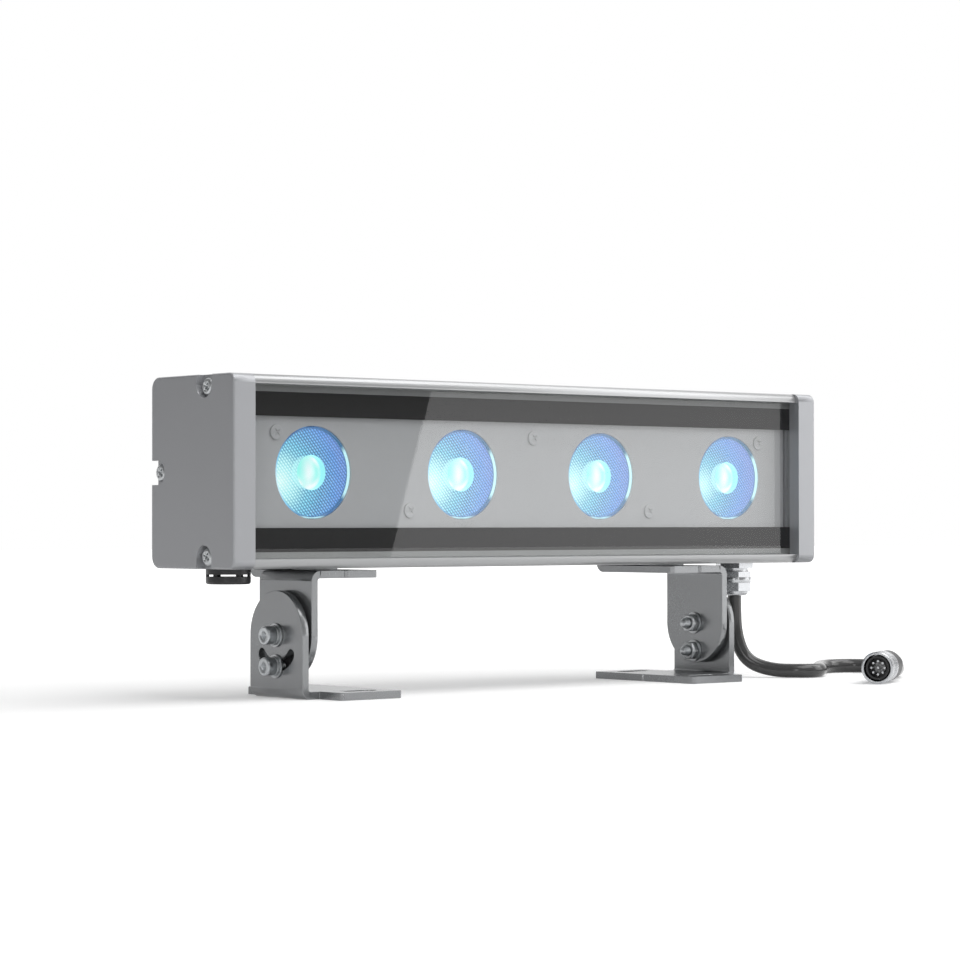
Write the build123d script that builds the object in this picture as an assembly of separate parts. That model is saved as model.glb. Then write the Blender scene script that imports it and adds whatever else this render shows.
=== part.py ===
from build123d import *
import math
import os

# Outdoor linear wall washer light, in millimetres.
# X runs along the housing, -Y is the lit front, +Z is up and z = 0 is the surface the feet stand on.
# The head tilts about an axis parallel to X, straight above the origin.

# ---- Housing: an extruded aluminium section closed by two cast end caps ----
LENGTH = 305.0
HEIGHT = 72.4
DEPTH = 54.4
WALL = 3.6
FRONT_RADIUS = 3.3
REAR_RADIUS = 4.5
PROFILE_SETBACK = 1.4
LEDGE_RISE = 2.6
LEDGE_THICKNESS = 2.2
WEB_THICKNESS = 3.0
REAR_CHAMBER_DEPTH = 8.5
REAR_WALL = 2.6
FIN_DEPTH = 5.9
FIN_GROOVE = 3.6
FIN_PITCH = 5.6
GROOVES_PER_SIDE = 4
REAR_RIB = 8.0
BOARD_GROOVE_DEPTH = 1.5
WIRE_HOLE_RADIUS = 4.0
WIRE_HOLE_INSET = 12.6
WIRE_HOLE_RISE = 8.5

# ---- End caps and their screws ----
CAP_THICKNESS = 9.8
CAP_EDGE_RADIUS = 0.8
CAP_SCREW_INSET = 4.6
CAP_SCREW_DEPTH = 19.2
REAR_SCREW_INSET = 4.4
NOTCH_RADIUS = 4.9
NOTCH_REACH = 8.8
REAR_NOTCH_HEIGHT = 9.2
NOTCH_RECESS = 3.2
SCREW_PORT_WALL = 1.9
CAP_SCREW_RADIUS = 1.5
CAP_SCREW_HEAD_RADIUS = 3.3
CAP_SCREW_HEAD_HEIGHT = 2.2
CAP_SCREW_LENGTH = 18.0
GASKET_THICKNESS = 1.0
GASKET_INSET = 1.2
GASKET_FRONT = 12.0
THREAD_PLAY = 0.05
SCREW_CLEARANCE = 0.2

# ---- Front glass ----
GLASS_RECESS = 5.6
GLASS_THICKNESS = 3.2
GLASS_GAP = 0.5
GLASS_ENTRY = 2.2
GLASS_PLAY = 0.05
GLASS_TAPE = 0.6
SEAL_SETBACK = 1.0
BORDER_WIDTH = 9.1
BORDER_THICKNESS = 0.15

# ---- Light engine ----
LENS_COUNT = 4
LENS_END_INSET = 43.0
LENS_RADIUS = 17.4
LENS_BODY_RADIUS = 16.6
LENS_TAIL_RADIUS = 6.4
LENS_TAIL_GAP = 1.74
LENS_SETBACK = 1.3
LENS_FLANGE = 0.7
LENS_WELL_RADIUS = 6.25
LENS_WELL_DEPTH = 5.0
LENS_WELL_CROWN = 2.2
LENS_WAIST_SHARE = 0.8
LENS_CAVITY_RADIUS = 4.2
LENS_CAVITY_ROOF = 3.2
LENS_CAVITY_DEPTH = 6.0
PLATE_DEPTH = 10.4
PLATE_EDGE_GAP = 3.6
PLATE_END_GAP = 0.6
LENS_HOLE_CLEARANCE = 0.25
HOLDER_WALL = 1.3
HOLDER_RIM = 0.4
HOLDER_BASE = 1.2
PLATE_SCREW_END_INSET = 15.85
PLATE_SCREW_OFFSET = 9.8
PLATE_SCREW_RISE = 14.9
PLATE_SCREW_DROP = 14.3
PLATE_SCREW_RADIUS = 1.5
PLATE_SCREW_HEAD_RADIUS = 2.9
PLATE_SCREW_HEAD_HEIGHT = 0.6
STANDOFF_RADIUS = 3.0
LED_BOARD_END_GAP = 10.7
LED_BOARD_HEIGHT = 40.0
BOARD_THICKNESS = 1.6
PAD_THICKNESS = 0.4
LED_BASE = 7.0
LED_BASE_THICKNESS = 0.8
LED_DOME_RADIUS = 2.8
DRIVER_BOARD_END_GAP = 22.7
DRIVER_BOARD_SETBACK = 1.2
DRIVER_BOARD_PLAY = 0.15
COIL_XS = (-84.0, -28.0, 28.0)
COIL_RADIUS = 6.0
COIL_HEIGHT = 4.2
COIL_RISE = 14.0
CHIP_SIZE = (10.0, 1.6, 10.0)
CHIP_RISE = -4.0
CAPACITOR_XS = (-56.0, 0.0, 56.0)
CAPACITOR_SIZE = (14.0, 3.0, 8.0)
CAPACITOR_RISE = -16.0
TERMINAL_INSET = 25.0
TERMINAL_SIZE = (22.0, 5.0, 10.0)
TERMINAL_RISE = -19.0

# ---- Breather vent under the left end ----
VENT_INSET = 16.6
VENT_RADIUS = 8.5
VENT_HEIGHT = 5.9
VENT_BASE_HEIGHT = 2.2
VENT_SLIT = 0.85
VENT_POST_CIRCLE = 6.0
VENT_POST_WIDTH = 2.1
VENT_POST_COUNT = 4
VENT_TURN = 5.0
VENT_EDGE_POST_CIRCLE = 7.8
VENT_EDGE_POST_WIDTH = 1.3
VENT_EDGE_POST_TURN = -40.0
VENT_SHANK_RADIUS = 4.0
VENT_SHANK_LENGTH = 6.0
VENT_BORE_RADIUS = 1.6
VENT_SEAL_SECTION = 0.8
VENT_EDGE_RADIUS = 1.0

# ---- Cable gland under the right end ----
GLAND_INSET = 21.9
GLAND_THREAD_RADIUS = 5.8
GLAND_THREAD_LENGTH = 6.0
GLAND_HEX_WIDE = 14.4
GLAND_HEX_NARROW = 12.6
GLAND_FLANGE_HEIGHT = 2.4
GLAND_NECK_HEIGHT = 1.55
GLAND_BODY_HEIGHT = 2.4
GLAND_COLLAR_HEIGHT = 2.25
GLAND_NUT_HEIGHT = 5.7
GLAND_NUT_CROWN = 1.9
GLAND_NUT_ROUNDING = 1.5
GLAND_NECK_RADIUS = 5.9
GLAND_SEAL_WALL = 1.2
GLAND_SEAL_PLAY = 0.02
GLAND_CORD_CLEARANCE = 0.3

# ---- Tilting brackets ----
SHEET = 3.0
BEND_RADIUS = 4.0
PIVOT_HEIGHT = 24.0
PIVOT_DROP = 25.6
PLATE_GAP = 0.05
FOOT_INSET = 38.7
LEG_WIDTH = 34.0
FOOT_REACH = 37.3
FOOT_SHOULDER = 8.1
FOOT_DEPTH = 61.6
FOOT_CORNER = 1.1
FOOT_SLOT_INSET = 22.8
FOOT_SLOT_SPACING = 44.0
FOOT_SLOT_LENGTH = 16.0
FOOT_SLOT_RADIUS = 3.25
NOTCH_MARK = 0.85
HEAD_BRACKET_REACH = 32.1
HEAD_BRACKET_SHOULDER = 4.8
HEAD_BRACKET_CORNER = 1.3
HEAD_BRACKET_GAP = 0.9
LIP_HEIGHT = 8.0
LOCK_RADIUS = 11.8
TILT_LIMIT = 50.0
SLOT_END_PLAY = 2.0
BRACKET_SCREW_INSET = 21.8
BRACKET_SCREW_RADIUS = 2.5
BRACKET_SCREW_LENGTH = 9.0
BRACKET_SCREW_HEAD_RADIUS = 4.6
SPACER_RADIUS = 6.0
SPACER_LENGTH = 22.0

# ---- Tilt fasteners ----
BOLT_RADIUS = 2.0
BOLT_HEAD_RADIUS = 3.5
BOLT_HEAD_HEIGHT = 4.0
BOLT_HEAD_EDGE = 0.4
BOLT_SOCKET = 3.0
BOLT_SOCKET_DEPTH = 2.0
BOLT_STICK_OUT = 3.0
WASHER_RADIUS = 4.5
WASHER_THICKNESS = 0.8
SPRING_WASHER_RADIUS = 3.8
SPRING_WASHER_THICKNESS = 1.0
LEG_WASHER_RADIUS = 5.0
LEG_WASHER_THICKNESS = 1.2
NUT_WIDTH = 7.0
NUT_HEIGHT = 3.2
PIVOT_CLEARANCE = 0.06

# ---- Supply cord and its round plug connector, lying on the surface ----
# The route and the plug are measured from the gland's axis.
CORD_RADIUS = 3.0
CORD_ROUTE = [
    (0.0, 0.0, 43.6),
    (0.0, 0.0, 30.5),
    (1.2, -1.4, 17.5),
    (3.2, -4.6, 7.2),
    (8.8, -13.1, 3.1),
    (16.1, -26.3, 3.1),
    (25.7, -26.4, 3.1),
    (34.7, -17.7, 3.1),
    (44.4, -7.5, 3.1),
    (55.7, -2.0, 3.1),
    (67.0, -4.9, 3.1),
    (71.8, -14.7, 3.1),
    (68.6, -26.4, 3.1),
    (61.1, -37.0, 3.1),
    (52.6, -46.4, 3.3),
    (45.0, -53.4, 5.0),
    (36.6, -59.3, 6.7),
    (29.0, -64.2, 6.7),
]
PLUG_FACE = (2.0, -81.5)
PLUG_HEADING = math.degrees(math.atan2(20.5, 32.0))
PLUG_RADIUS = 6.4
PLUG_GRIP_LENGTH = 12.0
PLUG_LENGTH = 38.0
PLUG_TAIL_RADIUS = 4.3
PLUG_CORD_DEPTH = 6.0
PLUG_CORD_PLAY = 0.05
PLUG_NECK_RADIUS = 4.65
PLUG_CHAMFER = 0.5
PLUG_SHOULDER = 1.5
PLUG_SHOULDER_DROP = 1.2
RING_RADIUS = 6.7
RING_LENGTH = 13.5
RING_SHOULDER = 3.0
RING_BORE_RADIUS = 5.6
RING_PLAY = 0.06
RING_CHAMFER = 0.4
RING_GROOVES = 4
RING_GROOVE_START = 4.5
RING_GROOVE_PITCH = 1.6
RING_GROOVE_WIDTH = 0.7
RING_GROOVE_DEPTH = 0.35
INSERT_RADIUS = 4.9
INSERT_FLANGE_RADIUS = 5.2
INSERT_FLANGE = 2.0
INSERT_RECESS_RADIUS = 4.1
INSERT_RECESS_DEPTH = 5.5
INSERT_SETBACK = 1.0
PIN_RADIUS = 0.45
PIN_CIRCLE = 2.75
PIN_COUNT = 8
PIN_LENGTH = 4.6

# ---- Places that follow from the sizes above ----
BASE = PIVOT_HEIGHT + PIVOT_DROP
TOP = BASE + HEIGHT
MIDDLE = BASE + HEIGHT / 2
FRONT = -DEPTH / 2
BACK = DEPTH / 2
CAP_INNER = LENGTH / 2 - CAP_THICKNESS
GLASS_FRONT = FRONT + GLASS_RECESS
GLASS_BACK = GLASS_FRONT + GLASS_THICKNESS
LEDGE_FRONT = GLASS_BACK + GLASS_TAPE
LEDGE_BACK = LEDGE_FRONT + LEDGE_THICKNESS
PLATE_FRONT = FRONT + PLATE_DEPTH
PLATE_BACK = PLATE_FRONT + LENS_SETBACK + LENS_FLANGE
REAR_WALL_BACK = BACK - FIN_DEPTH
REAR_WALL_FRONT = REAR_WALL_BACK - REAR_WALL
WEB_BACK = REAR_WALL_FRONT - REAR_CHAMBER_DEPTH
WEB_FRONT = WEB_BACK - WEB_THICKNESS
PAD_FRONT = WEB_FRONT - PAD_THICKNESS
LED_BOARD_FRONT = PAD_FRONT - BOARD_THICKNESS
DRIVER_FRONT = WEB_BACK + DRIVER_BOARD_SETBACK
LENS_SPAN = LENGTH - 2 * LENS_END_INSET
LENS_PITCH = LENS_SPAN / (LENS_COUNT - 1)
LENS_XS = [LENS_PITCH * i - LENS_SPAN / 2 for i in range(LENS_COUNT)]
LENS_FRONT = PLATE_FRONT + LENS_SETBACK
LENS_HEIGHT = LED_BOARD_FRONT - LENS_TAIL_GAP - LENS_FRONT
PLATE_HEIGHT = HEIGHT - 2 * WALL - 2 * PLATE_EDGE_GAP
PLATE_SCREW_END_X = CAP_INNER - PLATE_SCREW_END_INSET
PLATE_SCREW_MIDDLE_X = LENS_PITCH - PLATE_SCREW_OFFSET
PLATE_SCREWS = [
    (-PLATE_SCREW_END_X, MIDDLE + PLATE_SCREW_RISE),
    (-PLATE_SCREW_MIDDLE_X, MIDDLE - PLATE_SCREW_DROP),
    (0.0, MIDDLE + PLATE_SCREW_RISE),
    (PLATE_SCREW_MIDDLE_X, MIDDLE - PLATE_SCREW_DROP),
    (PLATE_SCREW_END_X, MIDDLE + PLATE_SCREW_RISE),
]
VENT_X = VENT_INSET - LENGTH / 2
GLAND_X = LENGTH / 2 - GLAND_INSET
WIRE_HOLE_X = GLAND_X - WIRE_HOLE_INSET
CAP_SCREWS = [
    (FRONT + CAP_SCREW_DEPTH, TOP - CAP_SCREW_INSET),
    (FRONT + CAP_SCREW_DEPTH, BASE + CAP_SCREW_INSET),
    (BACK - REAR_SCREW_INSET, MIDDLE),
]
FLANGE_TOP = BASE - HEAD_BRACKET_GAP
FLANGE_BOTTOM = FLANGE_TOP - SHEET
FOOT_OUTER_X = LENGTH / 2 - FOOT_INSET
FOOT_INNER_FACE = FOOT_OUTER_X - SHEET
FOOT_INNER_X = FOOT_OUTER_X - FOOT_REACH
FOOT_SHOULDER_X = FOOT_OUTER_X - FOOT_SHOULDER
FOOT_SLOT_X = FOOT_OUTER_X - FOOT_SLOT_INSET
LEG_WASHER_OUTER_X = FOOT_INNER_FACE - PLATE_GAP
LEG_WASHER_INNER_X = LEG_WASHER_OUTER_X - LEG_WASHER_THICKNESS
BRACKET_OUTER_X = LEG_WASHER_INNER_X - PLATE_GAP
BRACKET_INNER_FACE = BRACKET_OUTER_X - SHEET
HEAD_BRACKET_INNER_X = BRACKET_OUTER_X - HEAD_BRACKET_REACH
HEAD_BRACKET_SHOULDER_X = BRACKET_OUTER_X - HEAD_BRACKET_SHOULDER
BRACKET_SCREW_X = FOOT_OUTER_X - BRACKET_SCREW_INSET
LOCK_HEIGHT = PIVOT_HEIGHT - LOCK_RADIUS
WASHER_SEAT = FOOT_OUTER_X + PLATE_GAP
SPRING_WASHER_SEAT = WASHER_SEAT + WASHER_THICKNESS
BOLT_SEAT = SPRING_WASHER_SEAT + SPRING_WASHER_THICKNESS
NUT_WASHER_SEAT = BRACKET_INNER_FACE - PLATE_GAP
NUT_SEAT = NUT_WASHER_SEAT - WASHER_THICKNESS
SEAL_CORE_RADIUS = CORD_RADIUS + GLAND_SEAL_PLAY
PLUG_AXIS_HEIGHT = RING_RADIUS
INNER_BEND = BEND_RADIUS - SHEET


# ---- Small building helpers ----
def bar(y0, y1, z0, z1):
    """A rectangle in the cross-section, from y0 to y1 and z0 to z1."""
    return Pos((y0 + y1) / 2, (z0 + z1) / 2) * Rectangle(y1 - y0, z1 - z0)


def along_x(section, x0, x1):
    """A Y-Z cross-section extruded from x0 to x1."""
    return Pos(x0, 0, 0) * extrude(Plane.YZ * section, x1 - x0)


def rod_x(radius, x0, x1, y, z):
    """A round rod parallel to X."""
    return along_x(Pos(y, z) * Circle(radius), x0, x1)


def disc_z(radius, z0, z1, x, y=0.0):
    """A round disc or rod that stands on z0 and ends at z1."""
    return Pos(x, y, z0) * extrude(Circle(radius), z1 - z0)


def rod_y(radius, y0, y1, x, z):
    """A round rod parallel to Y, from the front face y0 back to y1."""
    return Pos(x, y0, z) * Rot(-90, 0, 0) * extrude(Circle(radius), y1 - y0)


def block(x0, x1, y0, y1, z0, z1):
    """A box between two corners."""
    size = (x1 - x0, y1 - y0, z1 - z0)
    return Pos((x0 + x1) / 2, (y0 + y1) / 2, (z0 + z1) / 2) * Box(*size)


def hexagon(across_flats):
    """A regular hexagon by its width across flats."""
    return RegularPolygon(across_flats / 2, 6, major_radius=False)


def mirrored(shape):
    """The same piece for the other end of the light."""
    return mirror(shape, Plane.YZ)


def joined(shapes):
    """Separate solids kept as one group."""
    return Compound(children=[s for shape in shapes for s in shape.solids()])


# ---- Housing ----
def rounded_outline(front):
    """The end view of the housing: small front corners, larger rear corners."""
    outline = bar(front, BACK, BASE, TOP)
    outline = fillet(outline.vertices().group_by(Axis.X)[0], FRONT_RADIUS)
    return fillet(outline.vertices().group_by(Axis.X)[-1], REAR_RADIUS)


def screw_ports():
    """Solid beads that run the whole length and take the end cap screws."""
    top, bottom, _ = CAP_SCREWS
    radius = CAP_SCREW_RADIUS + SCREW_PORT_WALL
    beads = Sketch()
    for y, z in (top, bottom):
        edge = TOP if z > MIDDLE else BASE
        low, high = sorted((z, edge))
        beads += Pos(y, z) * Circle(radius)
        beads += bar(y - radius, y + radius, low, high)
    return beads


def housing_section():
    """The extrusion: glass rebate, optics chamber, driver chamber and rear cooling fins."""
    section = rounded_outline(FRONT + PROFILE_SETBACK)
    low, high = BASE + WALL, TOP - WALL
    section -= bar(FRONT, LEDGE_FRONT, low, high)
    section -= bar(LEDGE_FRONT, LEDGE_BACK, low + LEDGE_RISE, high - LEDGE_RISE)
    section -= bar(LEDGE_BACK, WEB_FRONT, low, high)
    section -= bar(WEB_BACK, REAR_WALL_FRONT, low, high)
    driver_back = DRIVER_FRONT + BOARD_THICKNESS + 2 * DRIVER_BOARD_PLAY
    reach = BOARD_GROOVE_DEPTH
    section -= bar(DRIVER_FRONT, driver_back, low - reach, high + reach)
    for i in range(GROOVES_PER_SIDE):
        offset = REAR_RIB / 2 + FIN_GROOVE / 2 + i * FIN_PITCH
        for z in (MIDDLE - offset, MIDDLE + offset):
            section -= bar(REAR_WALL_BACK, BACK, z - FIN_GROOVE / 2, z + FIN_GROOVE / 2)
    section += bar(REAR_WALL_FRONT, BACK, MIDDLE - REAR_RIB / 2, MIDDLE + REAR_RIB / 2)
    section += screw_ports() & rounded_outline(FRONT + PROFILE_SETBACK)
    for y, z in CAP_SCREWS:
        section -= Pos(y, z) * Circle(CAP_SCREW_RADIUS + THREAD_PLAY)
    return section


def housing_profile():
    """The extrusion cut to length, with its drilled holes."""
    body = along_x(housing_section(), -CAP_INNER, CAP_INNER)
    wall_top = BASE + 2 * WALL
    body -= disc_z(GLAND_THREAD_RADIUS + THREAD_PLAY, BASE, wall_top, GLAND_X)
    body -= disc_z(VENT_SHANK_RADIUS + THREAD_PLAY, BASE, wall_top, VENT_X)
    body -= rod_y(WIRE_HOLE_RADIUS, WEB_FRONT, WEB_BACK, WIRE_HOLE_X, BASE + WIRE_HOLE_RISE)
    for x, z in PLATE_SCREWS:
        body -= rod_y(PLATE_SCREW_RADIUS + THREAD_PLAY, WEB_FRONT, WEB_BACK, x, z)
    for x in (-BRACKET_SCREW_X, BRACKET_SCREW_X):
        body -= disc_z(BRACKET_SCREW_RADIUS + THREAD_PLAY, BASE, wall_top, x)
    return body


# ---- End caps ----
def gasket_outline(clearance=0.0):
    """The flat gasket's outline, inside the cap's edge and behind the glass."""
    inset = GASKET_INSET - clearance
    start = FRONT + GASKET_FRONT - clearance
    outline = bar(start, BACK - inset, BASE + inset, TOP - inset)
    rear = outline.vertices().group_by(Axis.X)[-1]
    return fillet(rear, REAR_RADIUS - GASKET_INSET)


def end_cap():
    """The right cap: plate with screw notches, a gasket pocket and a groove for the glass."""
    outer = LENGTH / 2
    cap = along_x(rounded_outline(FRONT), CAP_INNER, outer)
    cap = fillet(cap.faces().sort_by(Axis.X)[-1].edges(), CAP_EDGE_RADIUS)
    cap -= along_x(gasket_outline(), CAP_INNER, CAP_INNER + GASKET_THICKNESS)
    groove = bar(GLASS_FRONT - GLASS_PLAY, LEDGE_FRONT, BASE + WALL, TOP - WALL)
    cap -= along_x(groove, CAP_INNER, CAP_INNER + GLASS_ENTRY)
    floor = outer - NOTCH_RECESS
    notch_y = FRONT + CAP_SCREW_DEPTH
    left, right = notch_y - NOTCH_RADIUS, notch_y + NOTCH_RADIUS
    centre = NOTCH_REACH - NOTCH_RADIUS
    for edge, z in ((TOP, TOP - centre), (BASE, BASE + centre)):
        low, high = sorted((z, edge))
        notch = bar(left, right, low, high) + Pos(notch_y, z) * Circle(NOTCH_RADIUS)
        cap -= along_x(notch, floor, outer)
    half = REAR_NOTCH_HEIGHT / 2
    rear_y = BACK - REAR_SCREW_INSET
    slot = bar(rear_y, BACK, MIDDLE - half, MIDDLE + half)
    slot += Pos(rear_y, MIDDLE) * Circle(half)
    cap -= along_x(slot, floor, outer)
    for y, z in CAP_SCREWS:
        cap -= rod_x(CAP_SCREW_RADIUS + SCREW_CLEARANCE, CAP_INNER, outer, y, z)
    return cap


def end_gasket():
    """Flat rubber gasket in the cap's pocket, pressed by the extrusion's cut end."""
    sheet = gasket_outline()
    for y, z in CAP_SCREWS:
        sheet -= Pos(y, z) * Circle(CAP_SCREW_RADIUS + SCREW_CLEARANCE)
    return along_x(sheet, CAP_INNER, CAP_INNER + GASKET_THICKNESS)


def cap_screws():
    """Three pan head screws that hold one cap to the ports of the extrusion."""
    seat = LENGTH / 2 - NOTCH_RECESS
    screws = []
    for y, z in CAP_SCREWS:
        shank = rod_x(CAP_SCREW_RADIUS, seat - CAP_SCREW_LENGTH, seat, y, z)
        head = rod_x(CAP_SCREW_HEAD_RADIUS, seat, seat + CAP_SCREW_HEAD_HEIGHT, y, z)
        head = fillet(head.faces().sort_by(Axis.X)[-1].edges(), CAP_SCREW_HEAD_HEIGHT / 2)
        screws.append(shank + head)
    return joined(screws)


# ---- Front glass ----
def glass_sheet(clearance=0.0):
    """The glass outline, whose ends enter the grooves of the caps."""
    x = CAP_INNER + GLASS_ENTRY - GLASS_GAP + clearance
    low = BASE + WALL + GLASS_GAP - clearance
    high = TOP - WALL - GLASS_GAP + clearance
    return x, low, high


def front_glass():
    """Clear toughened pane with ground edges."""
    x, low, high = glass_sheet()
    return block(-x, x, GLASS_FRONT, GLASS_BACK, low, high)


def glass_seal():
    """Grey silicone: a bead round the pane's edge and tapes between pane and ledges."""
    x, low, high = glass_sheet()
    outer_x, outer_low, outer_high = glass_sheet(GLASS_GAP)
    start = GLASS_FRONT + SEAL_SETBACK
    ring = block(-outer_x, outer_x, start, LEDGE_FRONT, outer_low, outer_high)
    ring -= block(-x, x, start, GLASS_BACK, low, high)
    inside = outer_low + LEDGE_RISE, outer_high - LEDGE_RISE
    return ring - block(-x, x, GLASS_BACK, LEDGE_FRONT, *inside)


def glass_border():
    """Black enamel bands on the inside of the pane, above and below the optics."""
    x = glass_sheet()[0]
    bands = []
    for edge, side in ((BASE + WALL + LEDGE_RISE, 1), (TOP - WALL - LEDGE_RISE, -1)):
        low, high = sorted((edge, edge + side * BORDER_WIDTH))
        bands.append(block(-x, x, GLASS_BACK, GLASS_BACK + BORDER_THICKNESS, low, high))
    return joined(bands)


# ---- Light engine ----
def lens_plate():
    """Painted cover plate with a round opening for each lens."""
    x = CAP_INNER - PLATE_END_GAP
    half = PLATE_HEIGHT / 2
    plate = block(-x, x, PLATE_FRONT, PLATE_BACK, MIDDLE - half, MIDDLE + half)
    for lens_x in LENS_XS:
        hole = LENS_RADIUS + LENS_HOLE_CLEARANCE
        plate -= rod_y(hole, PLATE_FRONT, PLATE_BACK, lens_x, MIDDLE)
    for screw_x, z in PLATE_SCREWS:
        hole = PLATE_SCREW_RADIUS + SCREW_CLEARANCE
        plate -= rod_y(hole, PLATE_FRONT, PLATE_BACK, screw_x, z)
    return plate


def plate_screws():
    """Long low-head screws through plate, standoffs and board into the web."""
    screws = []
    for x, z in PLATE_SCREWS:
        head_front = PLATE_FRONT - PLATE_SCREW_HEAD_HEIGHT
        head = rod_y(PLATE_SCREW_HEAD_RADIUS, head_front, PLATE_FRONT, x, z)
        screws.append(head + rod_y(PLATE_SCREW_RADIUS, PLATE_FRONT, WEB_BACK, x, z))
    return joined(screws)


def plate_standoffs():
    """Round spacers between the board and the cover plate."""
    spacers = []
    for x, z in PLATE_SCREWS:
        spacer = rod_y(STANDOFF_RADIUS, PLATE_BACK, LED_BOARD_FRONT, x, z)
        bore = PLATE_SCREW_RADIUS + SCREW_CLEARANCE
        spacers.append(spacer - rod_y(bore, PLATE_BACK, LED_BOARD_FRONT, x, z))
    return joined(spacers)


def lens(x):
    """Moulded collimator lens: front flange, domed front well, curved side, LED cavity."""
    crown = LENS_WELL_DEPTH - LENS_WELL_CROWN
    cavity = LENS_HEIGHT - LENS_CAVITY_DEPTH
    waist = (LENS_BODY_RADIUS * LENS_WAIST_SHARE, LENS_HEIGHT / 2)
    body = (LENS_BODY_RADIUS, LENS_FLANGE)
    with BuildPart() as part:
        with BuildSketch(Plane.XY):
            with BuildLine():
                Line((0, crown), (0, cavity))
                Line((0, cavity), (LENS_CAVITY_ROOF, cavity))
                Line((LENS_CAVITY_ROOF, cavity), (LENS_CAVITY_RADIUS, LENS_HEIGHT))
                Line((LENS_CAVITY_RADIUS, LENS_HEIGHT), (LENS_TAIL_RADIUS, LENS_HEIGHT))
                ThreePointArc((LENS_TAIL_RADIUS, LENS_HEIGHT), waist, body)
                Line(body, (LENS_RADIUS, LENS_FLANGE))
                Line((LENS_RADIUS, LENS_FLANGE), (LENS_RADIUS, 0))
                Line((LENS_RADIUS, 0), (LENS_WELL_RADIUS, 0))
                Line((LENS_WELL_RADIUS, 0), (LENS_WELL_RADIUS, LENS_WELL_DEPTH))
                TangentArc((0, crown), (LENS_WELL_RADIUS, LENS_WELL_DEPTH), tangent=(1, 0))
            make_face()
        revolve(axis=Axis.Y)
    return Pos(x, LENS_FRONT, MIDDLE) * part.part


def lens_holder(x):
    """Cup that stands on the board, centres the lens and carries its flange."""
    outer = LENS_RADIUS + HOLDER_WALL - HOLDER_RIM
    inner = LENS_RADIUS - HOLDER_RIM
    floor = LED_BOARD_FRONT - HOLDER_BASE
    cup = rod_y(outer, PLATE_BACK, LED_BOARD_FRONT, x, MIDDLE)
    cup -= rod_y(inner, PLATE_BACK, floor, x, MIDDLE)
    return cup - rod_y(LENS_TAIL_RADIUS, floor, LED_BOARD_FRONT, x, MIDDLE)


def led(x):
    """Multi-chip emitter: square package with a clear dome."""
    half = LED_BASE / 2
    front = LED_BOARD_FRONT - LED_BASE_THICKNESS
    package = block(x - half, x + half, front, LED_BOARD_FRONT, MIDDLE - half, MIDDLE + half)
    dome = Pos(x, front, MIDDLE) * Sphere(LED_DOME_RADIUS)
    reach = LED_DOME_RADIUS
    dome &= block(x - reach, x + reach, front - reach, front, MIDDLE - reach, MIDDLE + reach)
    return package + dome


def board_with_holes(front, thickness):
    """A flat layer on the web, as long and high as the LED board, drilled for the screws."""
    half_x, half_z = CAP_INNER - LED_BOARD_END_GAP, LED_BOARD_HEIGHT / 2
    layer = block(-half_x, half_x, front, front + thickness, MIDDLE - half_z, MIDDLE + half_z)
    for x, z in PLATE_SCREWS:
        hole = PLATE_SCREW_RADIUS + SCREW_CLEARANCE
        layer -= rod_y(hole, front, front + thickness, x, z)
    return layer


def driver_board():
    """Control board that slides into the two grooves of the rear chamber."""
    half = CAP_INNER - DRIVER_BOARD_END_GAP
    front = DRIVER_FRONT + DRIVER_BOARD_PLAY
    reach = BOARD_GROOVE_DEPTH - DRIVER_BOARD_PLAY
    low, high = BASE + WALL - reach, TOP - WALL + reach
    return block(-half, half, front, front + BOARD_THICKNESS, low, high)


def driver_parts():
    """Coils, capacitors, chips and the terminal block on the control board."""
    seat = DRIVER_FRONT + DRIVER_BOARD_PLAY + BOARD_THICKNESS
    terminal_x = CAP_INNER - DRIVER_BOARD_END_GAP - TERMINAL_INSET
    parts = [board_part(terminal_x, TERMINAL_RISE, TERMINAL_SIZE)]
    for x in COIL_XS:
        parts.append(rod_y(COIL_RADIUS, seat, seat + COIL_HEIGHT, x, MIDDLE + COIL_RISE))
        parts.append(board_part(x, CHIP_RISE, CHIP_SIZE))
    for x in CAPACITOR_XS:
        parts.append(board_part(x, CAPACITOR_RISE, CAPACITOR_SIZE))
    return joined(parts)


def board_part(x, rise, size):
    """A rectangular part on the back of the control board."""
    seat = DRIVER_FRONT + DRIVER_BOARD_PLAY + BOARD_THICKNESS
    return Pos(x, seat + size[1] / 2, MIDDLE + rise) * Box(*size)


# ---- Breather vent ----
def vent_plug():
    """Screw-in breather: threaded shank, base disc, posts and a cap disc with air slits between."""
    base_z = BASE - VENT_BASE_HEIGHT
    roof_z = base_z - VENT_SLIT
    shank_end = BASE + VENT_SHANK_LENGTH
    plug = disc_z(VENT_RADIUS, base_z, BASE, VENT_X)
    plug -= disc_z(VENT_SHANK_RADIUS + VENT_SEAL_SECTION, BASE - VENT_SEAL_SECTION, BASE, VENT_X)
    plug += disc_z(VENT_SHANK_RADIUS, base_z, shank_end, VENT_X)
    plug -= disc_z(VENT_BORE_RADIUS, base_z, shank_end, VENT_X)
    roof = disc_z(VENT_RADIUS, BASE - VENT_HEIGHT, roof_z, VENT_X)
    plug += fillet(roof.faces().sort_by(Axis.Z)[0].edges(), VENT_EDGE_RADIUS)
    step = 360 / VENT_POST_COUNT
    for i in range(VENT_POST_COUNT):
        plug += vent_post(VENT_TURN + i * step, VENT_POST_CIRCLE, VENT_POST_WIDTH)
    for turn in (VENT_EDGE_POST_TURN, VENT_EDGE_POST_TURN + 180):
        plug += vent_post(turn, VENT_EDGE_POST_CIRCLE, VENT_EDGE_POST_WIDTH)
    return plug


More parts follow.
